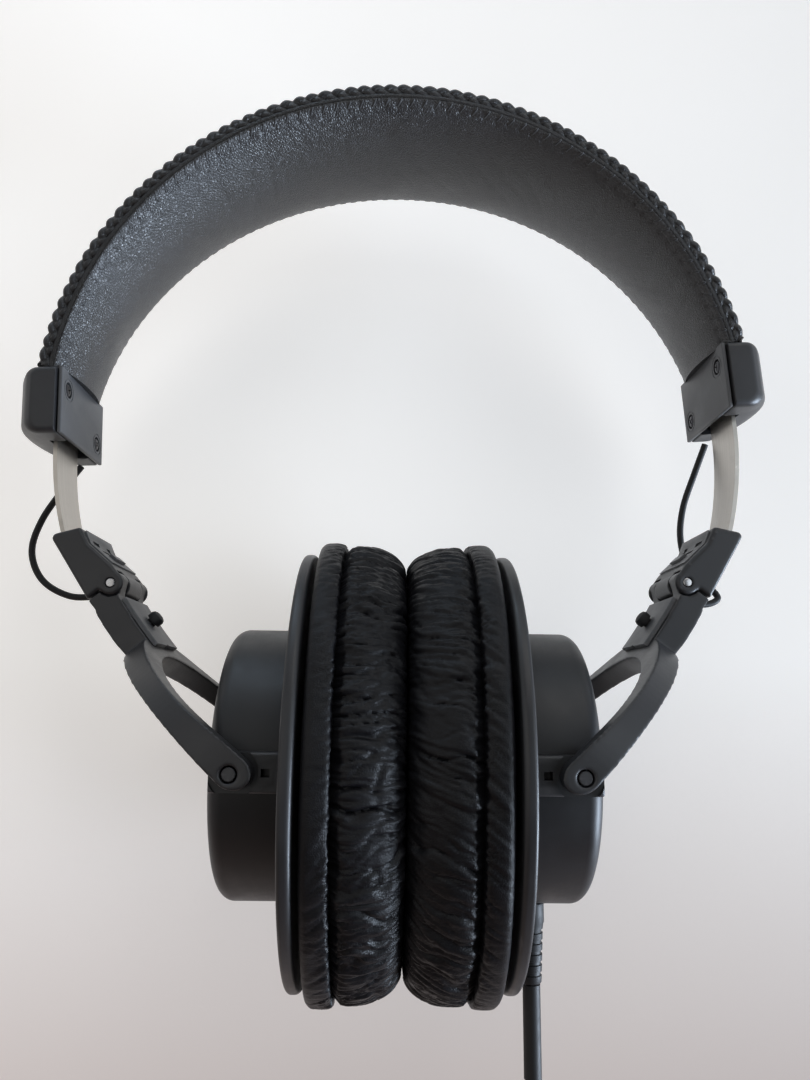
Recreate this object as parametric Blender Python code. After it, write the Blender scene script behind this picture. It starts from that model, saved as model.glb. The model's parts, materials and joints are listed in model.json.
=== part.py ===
"""Folding over-ear headphones, built from separate pieces on real joints.

Row frame: +Z up, +X to the wearer's left, -Y towards the viewer who sees both ear pads edge on.
The origin is the point where the headband's padded underside crosses X = 0, where it rests on a head.

Every paired piece is modelled once, for the +X side, and mirrored in X for the other one.
Radii given for the headband are measured from the centre of the arc that the slider strips follow.
"""

import bpy
import bmesh
from math import cos, pi, radians, sin, sqrt
from mathutils import Matrix, Vector

MM = 0.001
GAP = 0.3  # clearance between neighbouring pieces

# --- headband (mm) -----------------------------------------------------------------------------
ARC_X = -2.1  # centre of the slider arc, left of the pads' contact plane
ARC_DROP = 73.15  # how far that centre is below the padded underside
BAND_ROLL = radians(-3.4)  # the band leans: its +X end is the higher one
CAP_ANGLE = radians(76.6)  # from the crown to each end cap's upper edge
HALF_WIDTH_END = 13.0
HALF_WIDTH_GROWTH = 7.0
BRAID_RADIUS = 1.95  # of the braid itself
BRAID_ARC = 81.2  # of the arc that it follows
STRIP_RADIUS = 78.6
STRIP_THICK = 0.9
STRIP_HALF_WIDTH = 6.15
STRIP_HIDDEN = 20.0  # length of strip above a cap's lower edge, at rest
SPRING_RADIUS = 79.55
SPRING_THICK = 0.5
SPRING_HALF_WIDTH = 8.5
COVER_INNER = 80.3
COVER_OUTER = 81.7
PAD_OUTER = 77.85  # under the strips
PAD_SHOULDER = 78.95  # under the braids

# --- end caps (mm, in the band's own frame) -------------------------------------------------------
CAP_LOW, CAP_HIGH = 1.8, 17.5
CAP_IN, CAP_OUT, CAP_DOME = 75.9, 82.4, 87.2
CAP_HALF_WIDTH = 14.0
PLATE_IN, PLATE_OUT = 74.7, 75.6
PLATE_HALF_WIDTH = 13.15
CAP_SCREWS = (("upper", -9.3, 13.0), ("lower", 9.3, 6.2))  # across the cap, and up it
SCREW_RADIUS, SHANK_RADIUS = 1.4, 0.7
THROAT_HALF_WIDTH, POCKET_HALF_WIDTH = 6.9, 11.9

# --- cups (mm; x is the distance from the plane where the two ear pads meet) -------------------
CUP_DROP = 73.0  # from the slider arc's centre down to the cups' centre
PIVOT_X = 31.65
HOUSING_RADIUS, HOUSING_WALL = 28.4, 1.6
HOUSING_IN, HOUSING_OUT = 22.8, 37.5
RIM_Y, RIM_Z = 41.4, 45.5  # half axes of the front plate
RIM_IN, RIM_OUT = 19.9, 22.5
PAD_Y, PAD_Z = 41.9, 49.0  # half axes of the ear pad's rear roll
PAD_HOLE_Y, PAD_HOLE_Z = 19.0, 27.0
BOSS_HALF_HEIGHT, BOSS_FACE = 3.6, 32.9
DRIVER_RADIUS = 18.2
DISC_RADIUS = 22.0
RIM_STEPS, PAD_STEPS = 44, 36

# --- yokes (mm; s runs from the cup pivot to the fold pin, n is outward, y across) ------------------
FOLD_PIN_S = 49.8
TINE_IN, TINE_OUT = 33.3, 36.9
CROTCH_S = 30.6
ARM_STEPS = 11
TIP_REACH = 3.6
ARM_THICKNESS, ARM_WAIST = 6.3, 1.3  # along n, and how much thinner it gets halfway
ARM_FULLNESS = 1.45  # of the arms' outer edge in plan
STEM_HALF_WIDTH = 9.6
BLOCK_HALF_WIDTH = 9.9
KNUCKLE_RADIUS = 2.7
KNUCKLE_SPLIT = 4.6
PIN_RADIUS = 0.95
PIVOT_RADIUS = 1.25
YOKE_LEAN = {"left": radians(41.05), "right": radians(37.4)}

# --- how far each slider is pulled out: the angle below the band's horizontal of the strip's end --
STRIP_END = {"left": radians(17.2), "right": radians(22.4)}
SIDES = {"left": -1, "right": 1}

MATERIALS = {
    "band_leather": ((0.016, 0.016, 0.018), 0.5, 0.0),
    "braid_leather": ((0.012, 0.012, 0.014), 0.42, 0.0),
    "pad_leather": ((0.010, 0.010, 0.012), 0.38, 0.0),
    "satin_plastic": ((0.018, 0.019, 0.022), 0.42, 0.0),
    "grey_plastic": ((0.055, 0.057, 0.062), 0.55, 0.0),
    "housing_plastic": ((0.020, 0.021, 0.024), 0.5, 0.0),
    "black_rubber": ((0.014, 0.014, 0.015), 0.7, 0.0),
    "strip_steel": ((0.46, 0.44, 0.41), 0.33, 1.0),
    "spring_steel": ((0.30, 0.30, 0.31), 0.4, 1.0),
    "pin_steel": ((0.55, 0.55, 0.56), 0.25, 1.0),
    "screw_steel": ((0.05, 0.05, 0.055), 0.35, 1.0),
    "magnet_metal": ((0.25, 0.25, 0.26), 0.45, 1.0),
    "film": ((0.42, 0.40, 0.35), 0.3, 0.0),
    "foam": ((0.02, 0.02, 0.02), 0.95, 0.0),
}


# --- tools ---------------------------------------------------------------------------------------


def clear_scene():
    for thing in list(bpy.data.objects):
        bpy.data.objects.remove(thing, do_unlink=True)


def make_materials():
    made = {}
    for name, (colour, roughness, metallic) in MATERIALS.items():
        material = bpy.data.materials.new(name)
        material.use_nodes = True
        shader = material.node_tree.nodes["Principled BSDF"]
        shader.inputs["Base Color"].default_value = (*colour, 1.0)
        shader.inputs["Roughness"].default_value = roughness
        shader.inputs["Metallic"].default_value = metallic
        made[name] = material
    return made


def add_empty(name, matrix, parent=None):
    empty = bpy.data.objects.new(name, None)
    empty.empty_display_size = 5 * MM
    bpy.context.scene.collection.objects.link(empty)
    empty.parent = parent
    empty.matrix_local = matrix
    return empty


def place(name, bm, material, parent, side=1, smooth=35):
    """Makes the object from a bmesh in millimetres, mirrored in X for the left side."""
    bm.transform(Matrix.Diagonal((side * MM, MM, MM, 1)))
    if side < 0:
        bmesh.ops.reverse_faces(bm, faces=bm.faces)
    mesh = bpy.data.meshes.new(name)
    bm.to_mesh(mesh)
    bm.free()
    mesh.materials.append(material)
    thing = bpy.data.objects.new(name, mesh)
    bpy.context.scene.collection.objects.link(thing)
    thing.parent = parent
    mesh.shade_smooth()
    mesh.set_sharp_from_angle(angle=radians(smooth))
    return thing


def cut(thing, cutter, operation="DIFFERENCE"):
    """Adds a Boolean by a hidden cutter object."""
    cutter.hide_render = True
    cutter.display_type = "WIRE"
    modifier = thing.modifiers.new(operation.lower(), "BOOLEAN")
    modifier.operation = operation
    modifier.solver = "EXACT"
    modifier.object = cutter


def outward(bm):
    bmesh.ops.recalc_face_normals(bm, faces=bm.faces)
    return bm


def loft(sections, closed=False):
    """Skins a list of equally long closed rings of points; open lofts get flat end faces."""
    bm = bmesh.new()
    rings = [[bm.verts.new(point) for point in ring] for ring in sections]
    count = len(rings[0])
    pairs = list(zip(rings, rings[1:]))
    if closed:
        pairs.append((rings[-1], rings[0]))
    for ring, following in pairs:
        for i in range(count):
            j = (i + 1) % count
            bm.faces.new((ring[i], ring[j], following[j], following[i]))
    if not closed:
        bm.faces.new(rings[0])
        bm.faces.new(rings[-1])
    return outward(bm)


def lathe(profile, segments=48, centre_x=0.0, ry=1.0, rz=1.0):
    """Turns a closed (x, radius) outline about the X axis, with ry and rz as the radii's scale."""
    rings = []
    for k in range(segments):
        a = 2 * pi * k / segments
        rings.append([(x - centre_x, r * ry * cos(a), r * rz * sin(a)) for x, r in profile])
    return loft(rings, closed=True)


def disc(profile, segments=48, centre_x=0.0):
    """Turns an open (x, radius) outline whose first and last points are on the X axis."""
    bm = bmesh.new()
    tips = [bm.verts.new((profile[i][0] - centre_x, 0, 0)) for i in (0, -1)]
    rings = []
    for x, r in profile[1:-1]:
        turn = [2 * pi * k / segments for k in range(segments)]
        rings.append([bm.verts.new((x - centre_x, r * cos(a), r * sin(a))) for a in turn])
    for i in range(segments):
        j = (i + 1) % segments
        bm.faces.new((tips[0], rings[0][i], rings[0][j]))
        bm.faces.new((tips[1], rings[-1][j], rings[-1][i]))
        for ring, following in zip(rings, rings[1:]):
            bm.faces.new((ring[i], ring[j], following[j], following[i]))
    return outward(bm)


def box(low, high, bevel=0.0, segments=2):
    bm = bmesh.new()
    bmesh.ops.create_cube(bm, size=1.0)
    low, high = Vector(low), Vector(high)
    bm.transform(Matrix.Translation((low + high) / 2) @ Matrix.Diagonal((*(high - low), 1)))
    if bevel:
        bmesh.ops.bevel(
            bm, geom=bm.edges[:], offset=bevel, segments=segments, profile=0.5, affect="EDGES"
        )
    return outward(bm)


def rod(start, end, radius, segments=24, end_radius=None):
    """A straight round bar between two points."""
    start, end = Vector(start), Vector(end)
    axis = end - start
    turn = axis.to_track_quat("Z", "Y").to_matrix()
    sections = []
    for centre, r in ((start, radius), (end, end_radius or radius)):
        ring = [
            centre + turn @ Vector((r * cos(2 * pi * k / segments), r * sin(2 * pi * k / segments), 0))
            for k in range(segments)
        ]
        sections.append(ring)
    return loft(sections)


def smooth_path(points, per_span=6):
    """A Catmull-Rom curve through the points."""
    points = [Vector(p) for p in points]
    ends = [2 * points[0] - points[1], *points, 2 * points[-1] - points[-2]]
    path = []
    for a, b, c, d in zip(ends, ends[1:], ends[2:], ends[3:]):
        for k in range(per_span):
            t = k / per_span
            path.append(
                0.5
                * (
                    2 * b
                    + (c - a) * t
                    + (2 * a - 5 * b + 4 * c - d) * t**2
                    + (3 * b - a - 3 * c + d) * t**3
                )
            )
    path.append(points[-1])
    return path


def tube(path, radius, segments=6):
    """A round tube along a path, with a frame that never twists."""
    rings = []
    normal = (path[1] - path[0]).orthogonal().normalized()
    for i, centre in enumerate(path):
        along = (path[min(i + 1, len(path) - 1)] - path[max(i - 1, 0)]).normalized()
        normal = (normal - normal.dot(along) * along).normalized()
        across = along.cross(normal)
        turn = [2 * pi * k / segments for k in range(segments)]
        rings.append([centre + radius * (cos(a) * normal + sin(a) * across) for a in turn])
    return loft(rings)


def arc_points(centre, radius, start, end, steps):
    """Points of an arc, with angles in degrees from the first axis."""
    turn = [radians(start + (end - start) * k / steps) for k in range(steps + 1)]
    return [(centre[0] + radius * cos(a), centre[1] + radius * sin(a)) for a in turn]


# --- headband ----------------------------------------------------------------------------------------


def half_width(angle):
    """The band's half width, braid included: widest at the crown."""
    return HALF_WIDTH_END + HALF_WIDTH_GROWTH * cos(1.07 * angle)


def crown_share(angle):
    """1 at the crown, 0 towards the caps."""
    return cos(angle) ** 2


def on_arc(radius, y, angle):
    return (radius * sin(angle), y, radius * cos(angle))


def band_sweep(section, reach, steps):
    """Sweeps a cross-section, a function of the angle that gives (radius, y) points."""
    rings = []
    for k in range(steps + 1):
        angle = -reach + 2 * reach * k / steps
        rings.append([on_arc(r, y, angle) for r, y in section(angle)])
    return loft(rings)


def cover_section(angle):
    edge = half_width(angle) - 2 * BRAID_RADIUS - GAP
    drop = 1.0  # how far the cover's edges turn down towards the braid
    flat = SPRING_HALF_WIDTH + 0.5
    outer = [(COVER_OUTER - drop, -edge), (COVER_OUTER, -flat), (COVER_OUTER, flat)]
    inner = [(COVER_INNER, flat), (COVER_INNER, -flat)]
    return [*outer, (COVER_OUTER - drop, edge), (COVER_INNER - drop, edge), *inner,
            (COVER_INNER - drop, -edge)]


def pad_section(angle):
    """Flat on top, crowned underneath; thickest at the crown, and it reaches under the braids."""
    edge = half_width(angle) - 0.7
    share = crown_share(angle)
    side = 0.9 + 1.3 * share
    bulge = 0.3 + 2.3 * share
    count = 8
    under = []
    for k in range(count + 1):
        t = -1 + 2 * k / count
        under.append((PAD_OUTER - side - bulge * (1 - abs(t) ** 2.6), t * (edge - 0.5)))
    channel = SPRING_HALF_WIDTH + 0.3
    top = [(PAD_OUTER, channel), (PAD_OUTER, -channel), (PAD_SHOULDER, -channel - 0.5)]
    return [(PAD_SHOULDER, edge), (PAD_SHOULDER, channel + 0.5), *top, (PAD_SHOULDER, -edge), *under]


def braid_section(side):
    def section(angle):
        middle = side * (half_width(angle) - BRAID_RADIUS)
        turn = [2 * pi * k / 8 for k in range(8)]
        return [(BRAID_ARC + BRAID_RADIUS * sin(a), middle + BRAID_RADIUS * cos(a)) for a in turn]

    return section


def flat_section(radius, thick, width):
    low, high = radius - thick / 2, radius + thick / 2
    return lambda angle: [(low, -width), (low, width), (high, width), (high, -width)]


def build_headband(materials, frame):
    leather = materials["band_leather"]
    ends = CAP_ANGLE - radians(0.3)
    place("band_top_cover", band_sweep(cover_section, ends, 30), leather, frame)
    place("band_pad", band_sweep(pad_section, ends, 30), leather, frame)
    for name, side in (("front", -1), ("rear", 1)):
        rope = band_sweep(braid_section(side), ends, 32)
        place(f"braid_{name}", rope, materials["braid_leather"], frame, smooth=80)
    spring = flat_section(SPRING_RADIUS, SPRING_THICK, SPRING_HALF_WIDTH)
    reach = CAP_ANGLE + radians(7)
    place("band_spring", band_sweep(spring, reach, 30), materials["spring_steel"], frame)


# --- end caps ----------------------------------------------------------------------------------------


def cap_outline():
    """The cap's shell seen from the front, as (x, z): flat inner side, rounded lower corner."""
    low_corner = arc_points((CAP_OUT - 2.5, CAP_LOW + 2.9), 2.5, -90, 0, 4)
    high_corner = arc_points((CAP_OUT - 1.2, CAP_HIGH - 1.2), 1.2, 0, 90, 3)
    return [(CAP_IN, CAP_LOW), *low_corner, *high_corner, (CAP_IN, CAP_HIGH)]


def cap_shell_mesh():
    """The outline swept across in y; the outer side domes out in the middle of the width."""
    stations = [-1, -0.985, -0.93, -0.75, -0.5, -0.25, 0, 0.25, 0.5, 0.75, 0.93, 0.985, 1]
    rings = []
    for t in stations:
        inset = 0.9 * (1 - sqrt(max(0.0, 1 - ((abs(t) - 0.93) / 0.07) ** 2))) if abs(t) > 0.93 else 0
        dome = (CAP_DOME - CAP_OUT) * max(0.0, 1 - abs(t) ** 2.2)
        ring = []
        for x, z in cap_outline():
            share = (x - CAP_IN) / (CAP_OUT - CAP_IN)
            middle = (CAP_LOW + CAP_HIGH) / 2
            z = middle + (z - middle) * (1 - inset / 8 * share)
            ring.append((x + share * dome - inset * share, t * CAP_HALF_WIDTH, z))
        rings.append(ring)
    return loft(rings)


def build_cap(materials, side, sign, frame):
    shell = place(f"cap_shell_{side}", cap_shell_mesh(), materials["satin_plastic"], frame, sign)
    wide, narrow = POCKET_HALF_WIDTH, THROAT_HALF_WIDTH
    pocket = box((CAP_IN - 1, -wide, CAP_LOW + 1.6), (SPRING_RADIUS + 1.6, wide, CAP_HIGH + 1))
    cut(shell, place(f"cutter_pocket_{side}", pocket, materials["foam"], frame, sign))
    throat = box((CAP_IN - 1, -narrow, CAP_LOW - 1), (STRIP_RADIUS + 1.1, narrow, CAP_LOW + 3))
    cut(shell, place(f"cutter_throat_{side}", throat, materials["foam"], frame, sign))

    plate = place(
        f"cap_inner_plate_{side}",
        box(
            (PLATE_IN, -PLATE_HALF_WIDTH, CAP_LOW + 0.1),
            (PLATE_OUT, PLATE_HALF_WIDTH, CAP_HIGH - 0.1),
            bevel=0.25,
            segments=1,
        ),
        materials["grey_plastic"],
        frame,
        sign,
    )
    for spot, y, z in CAP_SCREWS:
        hole = rod((PLATE_IN - 1, y, z), (PLATE_OUT - 0.2, y, z), SCREW_RADIUS + 0.35, 16)
        cut(plate, place(f"cutter_screw_{spot}_{side}", hole, materials["foam"], frame, sign))
        shank = rod((PLATE_OUT - 0.4, y, z), (PLATE_OUT + 1.0, y, z), SHANK_RADIUS + GAP, 12)
        hole = place(f"cutter_shank_{spot}_{side}", shank, materials["foam"], frame, sign)
        cut(plate, hole)
        screw = disc(
            [(PLATE_IN - 0.05, 0), (PLATE_IN - 0.05, 0.9), (PLATE_IN + 0.1, SCREW_RADIUS),
             (PLATE_OUT - 0.5, SCREW_RADIUS), (PLATE_OUT - 0.5, SHANK_RADIUS),
             (PLATE_OUT + 1.2, SHANK_RADIUS), (PLATE_OUT + 1.2, 0)],
            12,
        )
        screw.transform(Matrix.Translation((0, y, z)))
        screw = place(f"cap_screw_{spot}_{side}", screw, materials["screw_steel"], frame, sign)
        for turn, name in ((0, "a"), (90, "b")):
            slot = box((-0.35, -0.85, -0.14), (0.2, 0.85, 0.14))
            place_slot = Matrix.Translation((PLATE_IN, y, z)) @ Matrix.Rotation(radians(turn + 20), 4, "X")
            slot.transform(place_slot)
            slot = place(f"cutter_cross_{name}_{spot}_{side}", slot, materials["foam"], frame, sign)
            cut(screw, slot)

    # a bowed leaf beside the strip, which clicks into its notches
    leaf = []
    for k in range(9):
        z = CAP_LOW + 3.4 + 1.1 * k
        bow = 0.55 * sin(pi * k / 8)
        leaf.append([(PLATE_OUT + 0.35 + bow, -7.6, z), (PLATE_OUT + 0.35 + bow, -6.9, z),
                     (PLATE_OUT + 0.75 + bow, -6.9, z), (PLATE_OUT + 0.75 + bow, -7.6, z)])
    place(f"detent_spring_{side}", loft(leaf), materials["spring_steel"], frame, sign)


# --- sliders ------------------------------------------------------------------------------------------


def strip_mesh(side):
    """A strip bent to the slider arc; its upper corners are rounded off."""
    low = -STRIP_END[side]
    high = (CAP_LOW + STRIP_HIDDEN) / STRIP_RADIUS
    steps = 16
    rings = []
    for k in range(steps + 1):
        angle = low + (high - low) * k / steps
        left = (high - angle) * STRIP_RADIUS
        width = STRIP_HALF_WIDTH - 2.0 * (1 - min(1.0, left / 2.0)) ** 2
        ring = []
        for r, y in flat_section(STRIP_RADIUS, STRIP_THICK, width)(0):
            ring.append((r * cos(angle), y, r * sin(angle)))
        rings.append(ring)
    return loft(rings)


def extrude_y(outline, low, high, bevel=0.0):
    """Extrudes an (x, z) outline across y, with rounded long edges if asked."""
    bm = loft([[(x, low, z) for x, z in outline], [(x, high, z) for x, z in outline]])
    if bevel:
        sides = [f for f in bm.faces if abs(f.normal.y) > 0.9]
        edges = {e for f in sides for e in f.edges}
        bmesh.ops.bevel(bm, geom=list(edges), offset=bevel, segments=2, profile=0.5, affect="EDGES")
    return outward(bm)


def block_outline():
    """The arm block from the side, as (n, s - FOLD_PIN_S): its foot is the yoke's stop."""
    knuckle = arc_points((0, 0), KNUCKLE_RADIUS, 160, 352, 12)
    return [(6.0, 0.35), (3.9, 17.2), (-2.4, 14.2), (-1.5, 10.2), (-2.6, 3.2), *knuckle, (3.0, 0.35)]


def build_block(materials, side, sign, fold, band):
    block = place(
        f"arm_block_{side}",
        extrude_y(block_outline(), -BLOCK_HALF_WIDTH, BLOCK_HALF_WIDTH, bevel=0.6),
        materials["satin_plastic"],
        fold,
        sign,
    )
    # room for the yoke's two knuckles, one on each side of the block's own
    for name, low, high in (("front", -12, -KNUCKLE_SPLIT), ("rear", KNUCKLE_SPLIT, 12)):
        room = rod((0, low, 0), (0, high, 0), KNUCKLE_RADIUS + GAP, 24)
        cut(block, place(f"cutter_knuckle_{name}_{side}", room, materials["foam"], fold, sign))
    bore = rod((0, -12, 0), (0, 12, 0), PIN_RADIUS + GAP, 16)
    cut(block, place(f"cutter_pin_{side}", bore, materials["foam"], fold, sign))
    # the pocket that holds the strip's end
    low, high = -STRIP_END[side] - 0.01, -STRIP_END[side] + 0.16
    rings = []
    for k in range(7):
        angle = low + (high - low) * k / 6
        section = flat_section(STRIP_RADIUS, STRIP_THICK + 2 * GAP, STRIP_HALF_WIDTH + GAP)(0)
        rings.append([(r * cos(angle), y, r * sin(angle)) for r, y in section])
    cut(block, place(f"cutter_strip_{side}", loft(rings), materials["foam"], band, sign))
    pin = rod((0, -9.3, 0), (0, 9.3, 0), PIN_RADIUS, 16)
    place(f"fold_pin_{side}", pin, materials["pin_steel"], fold, sign)
    return block


# --- yokes ---------------------------------------------------------------------------------------------


def bow(s):
    """How far the yoke's middle surface bows outward, at s."""
    t = s / FOLD_PIN_S
    return -0.6 + 3.4 * t + 11.0 * t * (1 - t) * (0.3 + t)


def yoke_thickness(s):
    """Along n: slimmer halfway along the arms, rounded off at the tines' tips."""
    t = min(1.0, max(0.0, s / 34))
    tip = sqrt(max(0.0, 1 - (s / TIP_REACH) ** 2)) if s < 0 else 1.0
    waist = ARM_WAIST * sin(pi * min(1.0, max(0.0, s / 40))) ** 1.5
    return tip * (ARM_THICKNESS - 0.4 * t - waist)


def yoke_stations():
    """The fork in plan, as pairs of (y, s) points on its inner and outer edges."""
    tines = [((TINE_IN, s), (TINE_OUT, s)) for s in (-3.3, -2.6, -1.5)]
    arms = []
    for k in range(ARM_STEPS + 1):
        a = pi / 2 * k / ARM_STEPS
        inner = (TINE_IN * cos(a) ** 1.05, 1.0 + (CROTCH_S - 1.0) * sin(a))
        reach = TINE_OUT - STEM_HALF_WIDTH
        outer = (STEM_HALF_WIDTH + reach * cos(a) ** ARM_FULLNESS, 2.5 + 32.5 * sin(a))
        arms.append((inner, outer))
    stem = [((0.0, s), (STEM_HALF_WIDTH, s)) for s in (39.5, 43.0, FOLD_PIN_S - 3.1)]
    return tines + arms + stem


def yoke_mesh():
    """Two arms that grow together above the crotch, curved outward along their length."""
    bm = bmesh.new()
    stations = yoke_stations()
    crotch = len(stations) - 4
    made = {}

    def corner(y, s, level):
        key = (round(y, 4) + 0.0, round(s, 4), level)
        if key not in made:
            place_n = bow(s) + level * yoke_thickness(s) / 2
            made[key] = bm.verts.new((place_n, y, s - FOLD_PIN_S))
        return made[key]

    for half in (-1, 1):
        rows = []
        for pair in stations:
            rows.append([corner(half * y, s, level) for y, s in pair for level in (-1, 1)])
        for k, (p, q) in enumerate(zip(rows, rows[1:])):
            bm.faces.new((p[0], p[2], q[2], q[0]))
            bm.faces.new((p[1], q[1], q[3], p[3]))
            bm.faces.new((p[2], p[3], q[3], q[2]))
            if k < crotch:
                bm.faces.new((p[0], q[0], q[1], p[1]))
        bm.faces.new((rows[0][0], rows[0][1], rows[0][3], rows[0][2]))
        bm.faces.new((rows[-1][0], rows[-1][2], rows[-1][3], rows[-1][1]))
    return outward(bm)


def build_yoke(materials, side, sign, fold):
    cutter = materials["foam"]
    yoke = place(f"yoke_{side}", yoke_mesh(), materials["satin_plastic"], fold, sign, smooth=40)
    # the stem's head is the stop under the block, and carries a knuckle at each end
    head = [(6.0, -0.05), (6.2, -6.5), (1.1, -6.5), (0.5, -3.2)]
    head += arc_points((0, 0), KNUCKLE_RADIUS, 200, -1, 12)
    head = extrude_y(head, -STEM_HALF_WIDTH, STEM_HALF_WIDTH)
    cut(yoke, place(f"cutter_head_{side}", head, cutter, fold, sign), "UNION")
    room = rod((0, -KNUCKLE_SPLIT - GAP, 0), (0, KNUCKLE_SPLIT + GAP, 0), KNUCKLE_RADIUS + GAP, 24)
    cut(yoke, place(f"cutter_middle_{side}", room, cutter, fold, sign))
    bore = rod((0, -12, 0), (0, 12, 0), PIN_RADIUS + GAP, 16)
    cut(yoke, place(f"cutter_yoke_pin_{side}", bore, cutter, fold, sign))
    bore = rod((0, -40, -FOLD_PIN_S), (0, 40, -FOLD_PIN_S), PIVOT_RADIUS + GAP, 16)
    cut(yoke, place(f"cutter_pivot_{side}", bore, cutter, fold, sign))

    rings = []
    for s in (33.2, 35.5, 38, 40.5, 43, 45.6):
        top = bow(s) - yoke_thickness(s) / 2 - GAP
        y = STEM_HALF_WIDTH - 1.6
        z = s - FOLD_PIN_S
        rings.append([(top - 0.9, -y, z), (top - 0.9, y, z), (top, y, z), (top, -y, z)])
    place(f"yoke_inner_cover_{side}", loft(rings), materials["grey_plastic"], fold, sign)
    s = 39.6
    seat = bow(s) - yoke_thickness(s) / 2 - 2 * GAP - 1.0
    knob = disc([(seat, 0), (seat, 1.7), (seat - 1.4, 1.7), (seat - 2.1, 1.3), (seat - 2.4, 0)], 20)
    knob.transform(Matrix.Translation((0, 0, s - FOLD_PIN_S)))
    place(f"bumper_knob_{side}", knob, materials["black_rubber"], fold, sign)


# --- cups -------------------------------------------------------------------------------------------------


def housing_outline():
    """A closed (x, radius) outline of the cup-shaped shell's wall."""
    corner = 3.2
    outer = arc_points((HOUSING_OUT - corner, HOUSING_RADIUS - corner), corner, 90, 0, 3)
    inner_radius, inner_face = HOUSING_RADIUS - HOUSING_WALL, HOUSING_OUT - 2.6
    return [
        (HOUSING_IN, HOUSING_RADIUS),
        *outer,
        (HOUSING_OUT, DISC_RADIUS + GAP),
        (HOUSING_OUT - 0.9, DISC_RADIUS + GAP),
        (HOUSING_OUT - 0.9, 2.0),
        (inner_face, 2.0),
        (inner_face, inner_radius - 2.0),
        (inner_face - 2.0, inner_radius),
        (HOUSING_IN, inner_radius),
    ]


def build_housing(materials, side, sign, tilt):
    plastic, cutter = materials["housing_plastic"], materials["foam"]
    shell = lathe(housing_outline(), 36, PIVOT_X)
    shell = place(f"cup_housing_{side}", shell, plastic, tilt, sign)
    for name, face in (("front", -1), ("rear", 1)):
        low, high = sorted((face * (HOUSING_RADIUS - 2.2), face * BOSS_FACE))
        boss = box(
            (HOUSING_IN + 0.2 - PIVOT_X, low, -BOSS_HALF_HEIGHT),
            (4.4, high, BOSS_HALF_HEIGHT),
            bevel=0.5,
            segments=2,
        )
        cut(shell, place(f"cutter_boss_{name}_{side}", boss, cutter, tilt, sign), "UNION")
        ends = (0, face * (BOSS_FACE - 0.6), 0), (0, face * (BOSS_FACE + 1), 0)
        recess = rod(*ends, 4.7, 24)
        cut(shell, place(f"cutter_recess_{name}_{side}", recess, cutter, tilt, sign))
        bore = rod((0, face * (BOSS_FACE + 1), 0), (0, face * 28.6, 0), PIVOT_RADIUS + GAP, 16)
        cut(shell, place(f"cutter_bore_{name}_{side}", bore, cutter, tilt, sign))
        low, high = sorted((face * (BOSS_FACE - 0.7), face * (BOSS_FACE + 1)))
        slot = box((24.9 - PIVOT_X, low, -0.7), (26.5 - PIVOT_X, high, 0.7))
        cut(shell, place(f"cutter_slot_{name}_{side}", slot, cutter, tilt, sign))
        pin = rod((0, face * 28.9, 0), (0, face * (TINE_OUT - 0.2), 0), PIVOT_RADIUS, 16)
        place(f"pivot_pin_{name}_{side}", pin, materials["satin_plastic"], tilt, sign)
    face = HOUSING_OUT - 0.6
    end = disc([(face, 0), (face, DISC_RADIUS), (face + 0.7, DISC_RADIUS), (face + 0.9, 21.4),
                (face + 0.9, 0)], 36, PIVOT_X)
    place(f"cup_end_disc_{side}", end, plastic, tilt, sign)
    return shell


def build_front_plate(materials, side, sign, tilt):
    hole = DRIVER_RADIUS + 0.4
    outline = [
        (RIM_IN, hole), (RIM_IN, RIM_Z - 1.2), (RIM_IN + 0.4, RIM_Z - 0.3), (RIM_IN + 1.0, RIM_Z),
        (RIM_OUT - 0.6, RIM_Z), (RIM_OUT, RIM_Z - 0.9), (RIM_OUT, hole),
    ]
    # the hole stays round while the rim is an upright ellipse
    rings = []
    for k in range(RIM_STEPS):
        a = 2 * pi * k / RIM_STEPS
        ring = []
        for x, r in outline:
            t = (r - hole) / (RIM_Z - hole)
            ring.append((x - PIVOT_X, r * (1 + t * (RIM_Y / RIM_Z - 1)) * cos(a), r * sin(a)))
        rings.append(ring)
    plate = loft(rings, closed=True)
    place(f"front_plate_{side}", plate, materials["satin_plastic"], tilt, sign)


def pad_mesh():
    """A plump ring, oval outside and inside, with its gathered seam as a shallow waist."""
    outline = [  # (x, share of the way from the hole's edge to the outer edge)
        (19.5, 0.02), (19.5, 0.92), (17.6, 1.0), (14.8, 0.985), (13.1, 0.925),
        (10.5, 0.96), (5.5, 0.94), (2.0, 0.82), (0.5, 0.6),
        (0.8, 0.33), (3.0, 0.08), (7.0, 0.0),
    ]
    rings = []
    for k in range(PAD_STEPS):
        a = 2 * pi * k / PAD_STEPS
        ring = []
        for x, share in outline:
            y = PAD_HOLE_Y + share * (PAD_Y - PAD_HOLE_Y)
            z = PAD_HOLE_Z + share * (PAD_Z - PAD_HOLE_Z)
            ring.append((x - PIVOT_X, y * cos(a), z * sin(a)))
        rings.append(ring)
    return loft(rings, closed=True)


def grille_mesh():
    """A thin domed disc with rings of holes through it."""
    return disc([(20.3, 0), (20.3, DRIVER_RADIUS - 0.3), (21.0, DRIVER_RADIUS - 0.3), (21.0, 0)],
                28, PIVOT_X)


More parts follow.
